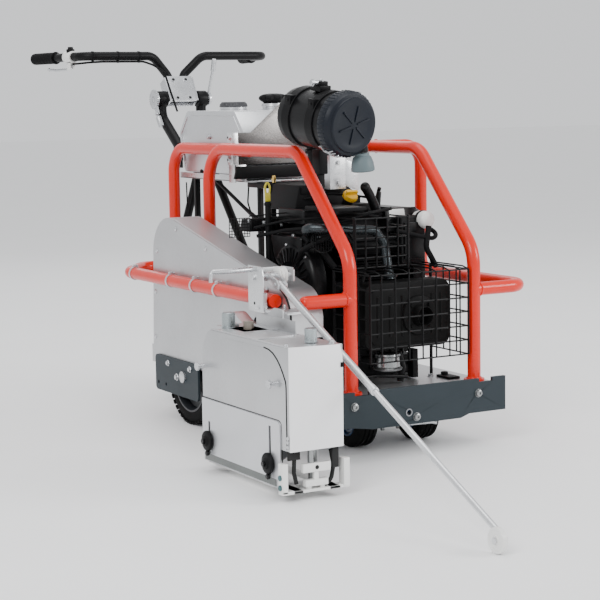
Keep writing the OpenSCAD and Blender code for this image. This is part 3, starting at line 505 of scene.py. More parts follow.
# knobs
for tag, y in KNOBS:
    k = Kit()
    k.solid([(0, 17), (1.5, 22), (4, 23), (7.5, 23), (9.5, 21.5), (10.5, 18), (11, 13.5),
        (13.4, 12.4), (14.6, 10)], (XO - 4.2, y, KNOB_Z), LEFT, 64)
    k.make("knob_" + tag, "black_plastic", body=tag + "_knob", node=tag + "_knob")
    k = Kit()
    k.solid([(0, 6.8), (4.5, 6.8), (5.2, 5.9)], (XO - 18.4, y, KNOB_Z), LEFT, 6)
    k.make("knob_nut_" + tag, "black_plastic", "gloss_black", body=tag + "_knob")
    k = Kit()
    k.solid([(0, 5.5), (3, 6.5), (6, 6.5), (8, 4)], (XO - 8, y - 3, 44.5), LEFT, 24)
    k.make("stop_screw_" + tag, "black_plastic", "gloss_black", body=UNIT)

# slotted lower cover, with open slots
def cover_with_slots():
    x0, x1 = XO - 3.8, XO - 1.0
    k = Kit()
    y0, y1, z0, z1 = -265, 98, 42, 166
    ys = [y0, -225.5, -216.5, 59.5, 68.5, y1]
    top = {1: 152, 3: 116}
    for i in range(5):
        a, b = ys[i], ys[i + 1]
        if i in top:
            k.box((x0, a, top[i]), (x1, b, z1), 0.0)
        elif i == 0:
            k.plate([(b, z0), (b, z1), (a + 12, z1)] + arc(a + 12, z1 - 12, 12, 90, 180, 6)
                + [(a, z0)], x0, x1, "YZ", 0.0)
        else:
            k.box((x0, a, z0), (x1, b, z1), 0.0)
    bmesh.ops.remove_doubles(k.bm, verts=k.bm.verts, dist=0.00001)
    inner = [f for f in k.bm.faces if len([e for e in f.edges if len(e.link_faces) > 2]) > 1
        and abs(f.normal.y) > 0.9]
    bmesh.ops.delete(k.bm, geom=inner, context="FACES")
    k.make("lower_cover", "white_steel", "cover_white", body="side_cover", node="side_cover",
        smooth=20)


cover_with_slots()
k = Kit()
for y, a, b in ((-221, 50, 152), (64, 50, 116)):
    k.box((XO - 1.2, y - 6, a), (XO - 0.95, y + 6, b + 3), 0.0)
k.make("slot_shadow", "rubber", "dark_gap", body=UNIT)
k = Kit()
k.plate([(92, 60), (70, 46), (36, 30), (24, 34), (52, 62)], XO - 0.9, XO - 0.15, "YZ", 0.2)
k.make("skirt_wedge", "plate_silver", body=UNIT)

# ---------------------------------------------------------------- skid frame

k = Kit()
xa, xb = XO + 6, XI - 6
k.box((xa, -299, 18), (xa + 26, 90, 24), 0.8)
k.box((xb - 26, -299, 18), (xb, 90, 24), 0.8)
k.box((xa, -299, 18), (xb, -215, 24), 0.8)
k.box((xa, 12, 18), (xb, 90, 24), 0.8)
k.box((-523, -300, 20), (-509.6, -281, 84), 1.2)
k.box((-523, -300, 18), (xa + 4, -281, 25), 0.8)
k.box((-375.4, -301, 21), (-361, -279, 81), 1.2)
k.box((xb - 4, -299, 18), (-361, -279, 25), 0.8)
# bridge over the shoe, and the lower bar; the bridge's hole is not cut but is a dark disc of
# painted shade among the skid's dark parts
k.box((-474, -301, 60), (-408, -290, 79), 1.2)
k.box((-447, -299, 36), (-436, -291, 62), 0.6)
k.box((-468, -301, 30), (-414, -286, 44), 1.0)
k.box((-462, -296, 24), (-452, -288, 32), 0.6)
k.box((-430, -296, 24), (-420, -288, 32), 0.6)
k.make("skid_parts", "white_paint", body=SKID, node="skid_frame")
k = Kit()
for x, y in SKID_POSTS:
    k.rod((x, y, 24), (x, y, 349), 8, 28, 1.2)
k.rod((-451, -292, 79), (-451, -292, 112), 6, 24)
k.rod((-425, -255, 24), (-425, -255, 112), 11, 24)
k.make("skid_posts", "white_steel", "chrome", body=SKID)
k = Kit()
# the small dark disc is painted shade standing for the hole in the bridge
k.solid([(0, 4.5), (0.6, 4.5)], (-441, -301.2, 69.5), FRONT, 20)
k.box((-400, -294, 62), (-384, -288, 108), 0.5)
k.box((-505, -292, 88), (-476, -288, 108), 0.5)
k.tube([(-398, -285, 100), (-392, -285, 66), (-398, -285, 36), (-414, -285, 26)], 4.5, 12, 20)
k.tube([(-486, -285, 100), (-488, -285, 60), (-482, -285, 36)], 4.5, 12, 20)
k.make("skid_dark_parts", "rubber", "seal", body=SKID)
k = Kit()
for z in (33, 54):
    k.solid([(0, 6), (2.5, 6), (3.2, 5)], (-523, -290.5, z), LEFT, 24)
k.make("skid_screws", "grey_plastic", "teal_oxide", body=SKID)
for i, (x, y) in enumerate(SKID_POSTS):
    k = Kit()
    turns, r = 9, 11.5
    pts = [(x + r * cos(t * 0.52), y + r * sin(t * 0.52), 112 + 200 * t / (turns * 12.0))
        for t in range(turns * 12 + 1)]
    k.tube(pts, 1.6, 8)
    k.make(f"skid_spring_{i}", "white_steel", body=UNIT)

# ---------------------------------------------------------------- wheels

GROOVE_DEPTH = 2.56               # mm


def tyre_profile(r_out, r_in, w, groove_at):
    """A tyre's section as (distance along the axle, radius), all in mm."""
    h = w / 2
    floor_r = r_out - GROOVE_DEPTH
    out = [(-h + 3, r_in), (-h + 0.6, r_in + 4), (-h, r_in + 10), (-h + 0.4, r_out - 12),
        (-h + 2.5, r_out - 5), (-h + 6, r_out - 1.2), (-h + 10, r_out - 0.2)]
    for g in sorted(groove_at):
        out += [(g - 2.6, r_out), (g - 1.8, floor_r), (g + 1.8, floor_r), (g + 2.6, r_out)]
    out += [(-a, r) for a, r in out[6::-1]]
    return out + [(-h + 3, r_in)]


def front_wheel(tag, x):
    body = "front_wheel_" + tag
    k = Kit()
    k.lathe(tyre_profile(64.9, 37, 57, (-12, 0, 12)), (x, *FRONT_AXLE), RIGHT, 72)
    k.make("front_tyre_" + tag, "tyre", body=body)
    k = Kit()
    for s in (-1, 1):
        k.lathe([(0, 10.2), (0, 37.5), (26.5, 37.5), (28.3, 36), (28.3, 33.5), (26, 32), (19, 30),
            (17, 26), (17, 19), (29, 17), (30.8, 15.5), (30.8, 10.2)], (x, *FRONT_AXLE), (s, 0, 0),
            56)
        for a in angles(5):
            k.solid([(16.5, 3), (19.5, 3)], yz(x, 123, 65, 23, a), (s, 0, 0), 6)
    k.make("front_hub_" + tag, "blue_hub", body=body, node="front_wheel_left" if tag == "l"
        else "front_wheel_right")


def rear_wheel(tag, x, side):
    body = "rear_wheel_" + tag
    k = Kit()
    k.lathe(tyre_profile(122.4, 90, 55.4, (-9, 9)), (x, *REAR_AXLE), RIGHT, 96)
    n = 44
    for row, off in ((-21, 0.0), (0, 0.5), (21, 0.0)):
        for i in range(n):
            a = 2 * pi * (i + off) / n
            turn = about((x, *REAR_AXLE), a, "X")
            k.box((x + row - 7.2, 600 - 6.2, 125 + 119), (x + row + 7.2, 600 + 6.2, 125 + 124.8),
                0.8, turn, 1)
    k.make("rear_tread_" + tag, "tyre", body=body, node="rear_tyre_left" if tag == "l"
        else "rear_tyre_right")
    k = Kit()
    k.lathe([(-27.5, 88), (-27.5, 92.5), (-24.5, 92.5), (-23, 89.5), (23, 89.5), (24.5, 92.5),
        (27.5, 92.5), (27.5, 88), (22, 84), (6, 82), (4, 78), (4, 40), (9, 36), (26, 30),
        (27.5, 28), (27.5, 12.6), (-27.5, 12.6), (-27.5, 28), (-26, 30), (-9, 36), (-4, 40),
        (-4, 78), (-6, 82), (-22, 84), (-27.5, 88)], (x, *REAR_AXLE), RIGHT, 72)
    for a in angles(4, 45):
        for s in (-1, 1):
            k.hexbolt(yz(x + s * 4, 600, 125, 56, a), (s, 0, 0), 7, 5)
    k.make("rear_rim_" + tag, "hub_grey", body=body, node="rear_hub_left" if tag == "l"
        else "rear_hub_right")
    k = Kit()
    k.solid([(0, 15), (5, 15), (7, 12)], (side * 315, 600, 125), (side, 0, 0), 40)
    k.hexbolt((side * 315, 638, 120), (side, 0, 0), 7, 5)
    for y in (690, 560):
        k.hexbolt((side * 315, y, 150), (side, 0, 0), 6, 4.5)
    k.make("bracket_bolts_" + tag, "white_steel")


front_wheel("l", -88)
front_wheel("r", 88)
rear_wheel("l", -272, -1)
rear_wheel("r", 272, 1)
k = Kit()
for x in (-12, 32):
    k.lathe([(-9, 10.2), (-9, 17), (-7.5, 18.5), (7.5, 18.5), (9, 17), (9, 10.2)],
        (x, *FRONT_AXLE), RIGHT, 40)
    k.rod((x, 123, 47), (x, 123, 30), 5, 16, 0.8)
k.make("axle_collars", "white_steel", "chrome")

# ---------------------------------------------------------------- bumper and deck front

k = Kit()
for x, z in ((-194, 132), (151, 130), (-25, 92)):
    k.solid([(0, 10), (1.5, 10), (1.5, 8.4), (3, 8.8), (6.2, 7.6), (7.6, 5), (7.6, 3.4),
        (4.5, 3.2)], (x, -48, z), FRONT, 36)
k.make("bumper_bolts", "white_steel", "chrome", node="frame_bolts")
k = Kit()
k.lathe([(0, 6.4), (0, 9.4), (1.2, 9), (1.2, 6.4)], (-46, -48, 104), FRONT, 32)
k.make("bumper_eyelet", "grey_steel")
k = Kit()
k.box((128, 40, 152.2), (160, 96, 158), 1.0)
k.solid([(0, 9), (6, 9), (7, 7.5)], (144, 84, 158), UP, 24)
k.make("deck_latch", "black_plastic")
k = Kit()
k.tube([(-33, -10, 70), (40, -12, 68), (52, -18, 66)], 5.5, 14, 12)
k.make("tow_rod", "white_steel")
k = Kit()
for x, y in ((-120, -20), (20, -20), (120, 110), (-140, 120), (70, 120)):
    k.hexbolt((x, y, 152.2), UP, 6, 4.5)
k.make("deck_bolts", "white_steel")

# ---------------------------------------------------------------- drive guard

k = Kit()
seal = arc(115, 327.5, 75.5, 100, 180, 10) + [(39.6, 320), (39.6, 286), (60, 283.6), (160, 275),
    (330, 262), (398, 160)]
k.tube([(-307, y, z) for y, z in seal], 2.6, 8, 6)
k.make("guard_seal", "rubber", "seal")
k = Kit()
for y, z in ((70, 360), (150, 392), (300, 425), (470, 465), (640, 505), (758, 440), (772, 330),
        (780, 210), (60, 300), (230, 288)):
    k.solid([(0, 6.5), (1, 6.5), (2.8, 5), (3.4, 3)], (-308.2, y, z), LEFT, 24)
k.make("guard_rivets", "white_steel")
k = Kit()
k.tube([(-306.8, y, z) for y, z in ((105, 403), (655, 530))], 1.6, 8)
k.make("guard_fold", "plate_silver")

# ---------------------------------------------------------------- air cleaner

CX, CZ = -155, 770
# The canister leans a little up and outwards towards its rear end
CAN = (Matrix.Translation(P(CX, 0, CZ)) @ Matrix.Rotation(radians(8), 4, "Z")
    @ Matrix.Rotation(radians(7), 4, "X") @ Matrix.Translation(-P(CX, 0, CZ)))


def leaned(k):
    bmesh.ops.transform(k.bm, matrix=CAN, verts=k.bm.verts)
    return k


k = Kit()
k.lathe([(-44, 66), (-44, 74), (-40, 76), (-20, 76), (-17, 74.5), (-12, 71), (-9, 70), (-6, 64),
    (-1, 63), (0.2, 61.5), (0.2, 50), (-0.6, 48), (-0.6, 12), (0.2, 9), (0.2, 0)], (CX, 1, CZ),
    FRONT, 96)
for a in angles(6, 12):
    turn = about((CX, 0, CZ), a, "Y")
    k.box((CX - 1.8, -1.4, CZ + 8), (CX + 1.8, 3, CZ + 44), 0.6, turn)
for a in angles(48):
    turn = about((CX, 0, CZ), a, "Y")
    k.box((CX - 1.4, 20, CZ + 73), (CX + 1.4, 42, CZ + 77), 0.5, turn, 1)
leaned(k).make("cleaner_cover", "black_plastic", "cap_face", node="air_cleaner_cover")
k = Kit()
k.lathe([(0, 0), (0, 66), (2, 68), (8, 68), (9, 66.6), (12, 66.6), (13, 68), (176, 68), (186, 66),
    (190, 58), (191, 0)], (CX, 20, CZ), REAR, 96)
leaned(k).make("cleaner_body", "gloss_black", "cleaner_black", node="air_cleaner")
k = Kit()
for y in (70, 158):
    k.lathe([(0, 67), (0, 70.6), (1.4, 71.6), (26, 71.6), (27.4, 70.6), (27.4, 67)], (CX, y, CZ),
        REAR, 96)
    k.box((CX - 66, y + 2, CZ + 28), (CX - 46, y + 25, CZ + 52), 2.0)
    k.rod((CX - 68, y + 13, CZ + 40), (CX - 40, y + 13, CZ + 50), 3.4, 14, 0.6)
leaned(k).make("cleaner_bands", "black_plastic")

# ---------------------------------------------------------------- engine side

WIRE_R = 1.9                      # mm, wire of the engine's cages


def wire_box(k, xs, zs, y):
    """A flat mesh: one layer of upright wires and, behind it, one of level wires."""
    for x in xs:
        k.tube([(x, y, zs[0]), (x, y, zs[-1])], WIRE_R, 8)
    for z in zs:
        k.tube([(xs[0], y + 3, z), (xs[-1], y + 3, z)], WIRE_R, 8)


k = Kit()
cage_x = [-126, -96, -58, -20, 18, 56, 94, 124, 149]
cage_z = [220 + 34 * i for i in range(7)]
wire_box(k, cage_x, cage_z, -13)
for x in (-127, 150):
    for z in cage_z:
        k.tube([(x, -11, z), (x, 150, z)], WIRE_R, 8)
    for y in (-11, 40, 95, 150):
        k.tube([(x, y, 220), (x, y, 424)], WIRE_R, 8)
for x in cage_x:
    k.tube([(x, -13, 424), (x, 12, 430), (x, 150, 430)], WIRE_R, 8, 6)
up_x = [-120, -92, -62, -32, -2, 26]
up_z = [436 + 23 * i for i in range(6)]
wire_box(k, up_x, up_z, 60)
for z in up_z:
    for x in (-121, 27):
        k.tube([(x, 62, z), (x, 140, z)], WIRE_R, 8)
for x in (-127, 150):
    k.rod((x, 150, 152), (x, 150, 426), 4, 14)
for x in (-121, 29):
    k.rod((x, 64, 412), (x, 64, 556), 3, 12)
k.make("wire_cages", "black_paint", node="wire_guards")

k = Kit()
k.plate(round_rect((-110, 240), (130, 400), 22), 38, 100, "XZ", 6)
k.plate(round_rect((-96, 254), (116, 386), 16), 33, 39, "XZ", 3)
for x in (-78, -44, -10, 74, 100):
    k.tube([(x, 34, 272), (x, 34, 368)], 3.4, 10)
k.lathe([(0, 46), (4, 48), (8, 46), (10, 40), (10, 26), (16, 24), (30, 23), (32, 21.5), (30, 20),
    (6, 19), (6, 0)], (36, 34, 318), FRONT, 56)
for a in angles(4, 45):
    k.hexbolt((36 + 35 * cos(a), 24, 318 + 35 * sin(a)), FRONT, 4.5, 4)
k.make("muffler_box", "black_paint", "muffler_black", node="muffler")

k = Kit()
k.tube([(-74, 208, 499), (-150, 208, 499), (-206, 150, 531), (-170, 120, 529), (-30, 120, 518),
    (-4, 119, 485), (-6, 92, 400)], 11.5, 28, 22)
for p, d in (((-5.6, 95, 404), (0, 0.25, 1)), ((-82, 208, 499), RIGHT)):
    k.solid([(0, 19), (4, 20), (6, 18)], p, d, 32)
k.make("exhaust_bend", "grey_steel", "pipe_dark", node="exhaust_pipe")

k = Kit()
k.solid([(0, 10), (1.5, 15), (5, 19.5), (10, 21.6), (40, 21.6), (44, 20), (48, 20)],
    (129, 124, 534), REAR, 48)
k.make("oil_filter_can", "white_paint", node="oil_filter")
k = Kit()
k.lathe([(0, 20), (0, 22.2), (1, 22.6), (9, 22.6), (10, 22.2), (10, 20)], (129, 146, 534), REAR,
    48)
k.make("oil_filter_band", "black_plastic")
k = Kit()
k.tube([(128, 216, 536), (128, 236, 536), (128, 244, 484)], 11, 20, 16)
k.tube([(120, 112, 520), (104, 100, 470), (120, 96, 440), (138, 110, 424)], 7, 14, 24)
k.tube([(-150, 250, 500), (-140, 180, 470), (-118, 160, 430)], 8, 14, 26)
k.tube([(-60, 110, 440), (-84, 90, 400), (-100, 100, 340)], 5, 12, 20)
k.make("engine_hoses", "rubber")

# barrels with their fins, heads and covers
def in_draw(v):
    return ((v.x - OX) / MM, (v.y - OY) / MM, v.z / MM)


k = Kit()
for s in (-1, 1):
    turn = (Matrix.Translation(P(0, 330 + s * 60, 400)) @ Matrix.Rotation(radians(-s * 32), 4, "X")
        @ Matrix.Translation(-P(0, 0, 0)))
    k.box((-58, -52, 2), (58, 52, 100), 3, turn)
    for i in range(9):
        k.box((-73, -65, 20 + 8.6 * i), (73, 65, 22.4 + 8.6 * i), 0.8, turn, 1)
    k.box((-72, -58, 100), (72, 58, 130), 7, turn, 3)
    k.box((-60, -44, 130), (60, 44, 134), 2, turn)
    for x in (-62, 62):
        for y in (-48, 48):
            k.hexbolt(in_draw(turn @ P(x, y, 127)), (0, s * 0.53, 0.85), 5, 6)
k.make("finned_barrels", "engine_black", node="cylinders")

# crankcase with ribs, sump and flange
DY = 339
k = Kit()
k.box((-130, 190, 152), (130, 470, 198), 6, segments=3)
k.box((-120, 205, 196), (110, 455, 330), 10, segments=3)
k.plate([(205, 326), (455, 326), (455, 340), (400, 398), (260, 398), (205, 340)], -120, 110, "YZ",
    5)
k.lathe([(0, 16.5), (0, 70), (3, 78), (8, 92), (14, 100), (34, 100), (34, 0)], (-150, 330, 330),
    RIGHT, 64)
for a in angles(8, 22.5):
    k.hexbolt(yz(-148, 330, 330, 54, a), LEFT, 5, 4)
for i in range(7):
    k.box((-96 + 32 * i, 200, 206), (-92 + 32 * i, 206, 322), 1.0)
for x in (-110, -60, 0, 60, 110):
    k.hexbolt((x, 192, 176), FRONT, 6, 5)
k.box((-100, 186, 330), (-30, 206, 392), 4)
k.rod((-65, 186, 362), (-65, 172, 362), 20, 32, 2)
k.rod((-200, DY, 372), (-200, DY, 584), 7, 24, 1.0)
k.rod((-200, DY, 380), (-118, DY, 380), 7, 20)
k.make("crankcase", "engine_black", node="engine_block")

# blower shroud with its screened intake
k = Kit()
k.plate(round_rect((170, 240), (490, 560), 46, 8), 112, 150, "YZ", 7)
k.solid([(0, 124), (8, 122), (22, 116), (22, 106), (10, 104)], (150, 330, 360), RIGHT, 72)
for r in (30, 50, 70, 90):
    k.lathe([(14, r - 1), (17, r - 1), (17, r + 1), (14, r + 1), (14, r - 1)], (150, 330, 360),
        RIGHT, 48)
for a in angles(16):
    k.rod(yz(165.5, 330, 360, 16, a), yz(165.5, 330, 360, 106, a), 1.4, 6)
k.make("blower_shroud", "black_paint", "gloss_paint_black", node="blower_housing")

# ---------------------------------------------------------------- tube frame

def bent(k, pts, bends, r, seg=36):
    """A round tube along pts (mm), with a bend radius for each inner corner."""
    path = [P(*pts[0])]
    world = [P(*p) for p in pts]
    for i, rad in enumerate(bends, 1):
        part = round_path(world[i - 1:i + 2], rad * MM, 14)
        path += part[1:-1]
    path.append(world[-1])
    bm = bmesh.new()
    sweep_into(bm, path, r * MM, seg)
    k.add(bm)


def bead(k, centre, axis, r):
    """A weld bead round a tube's end."""
    a = Vector(axis).normalized()
    side = a.orthogonal().normalized()
    other = a.cross(side)
    pts = []
    for t in angles(40):
        v = Vector(centre) + side * cos(t) * r + other * sin(t) * r
        pts.append(P(*v))
    bm = bmesh.new()
    sweep_into(bm, pts, [2.2 * MM + 0.5 * MM * sin(9 * i) for i in range(40)], 8, True)
    k.add(bm)


for tag, s in (("left", -1), ("right", 1)):
    x = HOOP_X * s
    k = Kit()
    bent(k, [(x, 0, DECK_Z), (x, 0, 465), (x, 232, HOOP_Z), (x, HOOP_REAR, HOOP_Z), (x, HOOP_REAR,
        DECK_Z)], (95, 70, 95), TUBE_R)
    for y in (0, HOOP_REAR):
        k.lathe([(0, 15.5), (0, 25), (5, 25), (6, 24), (6, 15.5)], (x, y, DECK_Z), UP, 40)
        bead(k, (x, y, 159), UP, 16.4)
    k.make("frame_hoop_" + tag, "orange", node=tag + "_hoop")

k = Kit()
bent(k, [(-RAIL_X, 78, RAIL_Z), (-RAIL_X, 900, RAIL_Z), (-240, 1002, RAIL_Z),
    (-137, 1002, RAIL_Z)], (60, 50), TUBE_R)
bead(k, (-151.5, 1002, RAIL_Z), RIGHT, 16.2)
k.make("frame_rail_left", "orange", node="left_rail")
k = Kit()
bent(k, [(HOOP_X, 0, RAIL_Z), (RAIL_X, 0, RAIL_Z), (RAIL_X, 456, RAIL_Z), (RAIL_X, 456, HOOP_Z),
    (HOOP_X, 456, HOOP_Z)], (48, 36, 50), TUBE_R)
bead(k, (188, 0, RAIL_Z), RIGHT, 16.2)
bead(k, (188, 456, HOOP_Z), RIGHT, 16.2)
k.make("frame_rail_right", "orange", node="right_rail")
k = Kit()
bent(k, [(-137, 1002, DECK_Z), (-137, 1002, 702), (-137, 545, 702)], (72,), TUBE_R)
bent(k, [(HOOP_X, 925, DECK_Z), (HOOP_X, 925, 614), (HOOP_X, 712, 614)], (55,), TUBE_R)
k.lathe([(0, 0), (2, 8), (5, 13), (9, 15.4), (14, 16), (140, 16), (140, 0)], (-306, 0, RAIL_Z),
    RIGHT, 36)
bead(k, (-188, 0, RAIL_Z), RIGHT, 16.2)
bead(k, (HOOP_X, 728, 614), REAR, 16.2)
for x, y in ((-137, 1002), (HOOP_X, 925)):
    k.lathe([(0, 15.5), (0, 24), (5, 24), (6, 23), (6, 15.5)], (x, y, DECK_Z), UP, 40)
k.make("frame_cross_tubes", "orange", node="cross_tubes")

k = Kit()
for y in (366, 493, 633, 862):
    k.lathe([(-4.5, 16.1), (-4.5, 17.6), (-3.6, 18), (3.6, 18), (4.5, 17.6), (4.5, 16.1)],
        (-RAIL_X, y, RAIL_Z), REAR, 40)
    k.box((-331, y - 4, 389), (-321, y + 4, 397), 1.2)
    k.rod((-335, y, 393), (-317, y, 393), 2.6, 16, 0.5)
k.make("rail_hose_clamps", "white_steel", node="rail_clamps")

# ---------------------------------------------------------------- guide bracket and arm

GY, GZ = 112, 428
k = Kit()
k.plate([(72, 349), (142, 349), (142, 454), (86, 454), (80, 452), (76, 446), (72, 430)], -362,
    -358, "YZ", 0.7)
k.plate([(92, 414), (142, 414), (142, 446), (98, 446), (92, 440)], -270, -266, "YZ", 0.6)
k.box((-358.4, 138, 414), (-266.6, 142, 446), 0.8)
k.rod((-358, GY, GZ), (-270, GY, GZ), 6, 28)
for x, s in ((-362, -1), (-266, 1)):
    k.hexbolt((x, GY, GZ), (s, 0, 0), 7, 5)
k.box((-358.4, 84, 357), (-344, 138, 392), 0.8)
k.box((-358, 60, 351), (-311, 138, 357), 0.8)
k.box((-345, -12, 351), (-290, 60, 357), 0.8)
k.solid([(0, 5), (2, 4.6), (3, 3)], (-362, 92, 360), LEFT, 20)
k.make("guide_bracket_plates", "white_steel", "bracket_white", node="guide_bracket")
k = Kit()
# a dark disc on the bracket plate: painted shade standing for a hole
k.solid([(0, 3.6), (0.4, 3.6)], (-362, GY, 368), LEFT, 20)
k.make("bracket_hole_painted_shade", "rubber", "dark_gap")
k = Kit()
k.lathe([(0, 6.1), (0, 18), (1, 20), (3, 20), (4, 19), (6.5, 15), (8, 18.5), (9, 19.4), (13, 19.4),
    (14, 18.5), (15.5, 15), (18, 19), (19, 20), (21, 20), (22, 18), (22, 6.1)], (-304, GY, GZ),
    RIGHT, 64)
k.make("cord_sheave", "white_paint", body="cord_pulley", node="cord_pulley")

knee, tip = Vector((-319, 66, 413)), Vector((-359, -836, 29))
k = Kit()
k.lathe([(0, 6.1), (0, 11), (26, 11), (26, 6.1)], (-334, GY, GZ), RIGHT, 36)
k.plate([(104, 418), (104, 438), (60, 424), (50, 414), (52, 402), (66, 402)], -333, -328, "YZ",
    0.8)
k.plate([(104, 418), (104, 438), (60, 424), (50, 414), (52, 402), (66, 402)], -313, -308, "YZ",
    0.8)
k.rod((-335.5, 66, 413), (-305.5, 66, 413), 4, 20, 0.8)
d = (tip - knee).normalized()
k.rod(knee, knee + d * 470, 8, 32)
k.rod(knee + d * 470, tip, 6.6, 32)
k.lathe([(0, 8), (0, 9.4), (16, 9.4), (17, 8.6), (17, 6.6)], knee + d * 456, d, 32)
k.ball(tip, 8.6, seg=28)
k.rod(tip, (-359, -846, 25), 6, 20)
k.rod((-384, -846, 25), (-356, -846, 25), 4, 20, 0.8)
k.solid([(0, 6.4), (2, 6.4), (3, 5)], (-383, -846, 25), LEFT, 24)
k.make("guide_tube", "white_steel", "bracket_white", body="guide", node="guide_arm")
k = Kit()
k.lathe([(0, 4.1), (0, 9), (1.5, 10), (1.5, 19), (0.2, 20.5), (0, 23.5), (1.4, 25), (10.6, 25),
    (12, 23.5), (11.8, 20.5), (10.5, 19), (10.5, 10), (12, 9), (12, 4.1)], (-382, -846, 25), RIGHT,
    56)
k.make("guide_roller", "white_steel", "white_paint", body="guide_wheel", node="guide_wheel")
k = Kit()
k.rod((-470, 112, 446), (-366, 112, 446), 6, 28, 1.0)
k.rod((-366, 112, 446), (-345, 112, 446), 3.4, 20)
k.tube([(-462, 112, 446), (-472, 112, 445), (-473, 112, 423)], 4.4, 16, 8)
k.make("lock_rod", "white_steel", body="lock", node="lock_pin")

# ---------------------------------------------------------------- handle

TY, TZ = 1230, 836                # the tilt axis
BY, BZ, BW = 1250, 962, 290       # the bar's level part, and half its width
BAR_R = 12.7
CLAMP_LEAN = -28                  # degrees
k = Kit()
for s in (-1, 1):
    bent(k, [(s * 24, TY + 5, TZ + 9), (s * 24, TY + 36.6, TZ + 68.9), (s * 80, BY, BZ),
        (s * BW, BY, BZ), (s * (BW + 55), BY + 245, BZ - 2)], (22, 44, 46), BAR_R, 32)
k.make("bar_tubes", "black_paint", body="handle", node="handlebar")


def bar_end(s, t):
    return Vector((s * (BW + 55 * t), BY + 245 * t, BZ - 2 * t))


k = Kit()
for s in (-1, 1):
    a, b = bar_end(s, 0.58), bar_end(s, 1.03)
    axis = (b - a).normalized()
    n = (b - a).length
    prof = [(0, 12.6), (0, 17.6), (3, 18.4), (6, 17.6)]
    h = 8.0
    while h < n - 8:
        prof += [(h, 15.6), (h + 0.8, 16.8), (h + 3.4, 16.8), (h + 4.2, 15.6)]
        h += 5.4
    prof += [(n - 5, 16.6), (n - 1.5, 16.2), (n, 14), (n, 0)]
    k.lathe(prof, a, axis, 40)
k.make("rubber_grips", "rubber", body="handle", node="handle_grips")

k = Kit()
for y in (-19, 13):
    k.plate(round_rect((-43, TZ - 16), (43, TZ + 66), 7), TY + y, TY + y + 6, "XZ", 0.8)
for s in (-1, 1):
    k.box((s * 43 - 3, TY - 19, TZ - 14), (s * 43 + 3, TY + 19, TZ + 62), 0.8)
for x in (-20, 20):
    for z in (-6, 54):
        k.lathe([(0, 4.6), (0, 7), (1.6, 6.8), (1.6, 4.6)], (x, TY - 19, TZ + z), FRONT, 24)
lean = about((0, TY, TZ), radians(CLAMP_LEAN), "X")
bmesh.ops.transform(k.bm, matrix=lean, verts=k.bm.verts)
k.rod((-84, TY, TZ), (92, TY, TZ), 8, 28, 0.8)
for s, x, r in ((-1, -84, 25), (1, 92, 13)):
    k.solid([(-3, r), (3, r), (4, r - 1), (4, r - 7), (2.5, r - 8), (2.5, 8), (6, 8), (7, 6.5)],
        (x, TY, TZ), (s, 0, 0), 48)
k.make("clamp_plates", "white_steel", body="handle", node="clamp_block")
k = Kit()
# dark discs on the clamp plates: painted shade standing for holes
for x in (-20, 20):
    for z in (-6, 54):
        k.solid([(0, 4.6), (0.6, 4.6)], (x, TY - 19, TZ + z), FRONT, 20)
bmesh.ops.transform(k.bm, matrix=lean, verts=k.bm.verts)
k.make("clamp_holes_painted_shade", "rubber", "dark_gap", body="handle")
k = Kit()
k.lathe([(0, 8.1), (0, 19), (1, 20), (7, 20), (8, 19), (8, 8.1)], (84, TY, TZ), RIGHT, 40)
k.tube([(88, TY - 4, TZ + 14), (92, TY - 12, TZ + 50), (96, TY - 22, TZ + 85)], 4.2, 16, 20)
k.rod((96, TY - 22, TZ + 80), (97, TY - 28, TZ + 116), 8, 24, 3, 6.6)
k.make("ratchet_lever", "white_steel", body="tilt_lever", node="tilt_lever")

k = Kit()
c = bar_end(-1, 0.3)
axis = (bar_end(-1, 1) - bar_end(-1, 0)).normalized()
k.lathe([(-18, 12.7), (-18, 16.4), (-17, 17), (17, 17), (18, 16.4), (18, 12.7)], c, axis, 36)
k.box((-314, 1309, BZ - 37), (-310.4, 1333, BZ - 8), 0.8)
k.box((-301.6, 1309, BZ - 37), (-298, 1333, BZ - 8), 0.8)
k.box((-314, 1309, BZ - 18), (-298, 1333, BZ - 8), 0.8)
k.rod((-315, 1321, BZ - 28), (-297, 1321, BZ - 28), 3, 16, 0.5)
k.make("lever_clamp", "white_paint", body="handle", node="lever_bracket")
k = Kit()
k.solid([(0, 12), (12, 12), (14, 11), (14, 8.5), (12, 8.4)], (-306, 1321, BZ + 8), UP, 32)
k.make("switch_collar", "black_plastic", body="handle")
k = Kit()
k.solid([(0, 8), (6.6, 8), (8.2, 6.6), (8.6, 4)], (-306, 1321, BZ + 20.4), UP, 32)
k.make("stop_button", "black_plastic", "gloss_black", body="stop_switch", node="stop_switch")
k = Kit()
k.rod((-309.5, 1321, BZ - 28), (-302.5, 1321, BZ - 28), 6.5, 24, 0.5)
k.tube([(-306, 1323, BZ - 28), (-309, 1345, BZ - 36), (-322, 1392, BZ - 37), (-330, 1426, BZ
    - 35)], 4, 16, 24)
k.ball((-330.5, 1428, BZ - 35), 5.6)
k.make("squeeze_lever", "white_steel", body="control_lever", node="control_lever")

k = Kit()
cable = [(-304, 1309, 941), (-297, 1270, 942), (-280, 1252, 944), (-240, 1248, 946),
    (-110, 1248, 946), (-84, 1238, 936), (-62, 1210, 916), (-50, 1196, 860), (-40, 1188, 820),
    (-34, 1186, 800)]
k.tube(cable, 3, 14, 26)
k.make("throttle_cable", "rubber", body="handle", node="control_cable")
k = Kit()
for x in (-268, -190, -124):
    k.lathe([(-2.4, 12.8), (-2.4, 14.2), (2.4, 14.2), (2.4, 12.8)], (x, BY, BZ), RIGHT, 28)
    k.box((x - 3, BY - 5, BZ - 19.6), (x + 3, BY + 2, BZ - 12.6), 0.8)
k.make("cable_ties", "black_plastic", body="handle")

# ---------------------------------------------------------------- air cleaner's surroundings

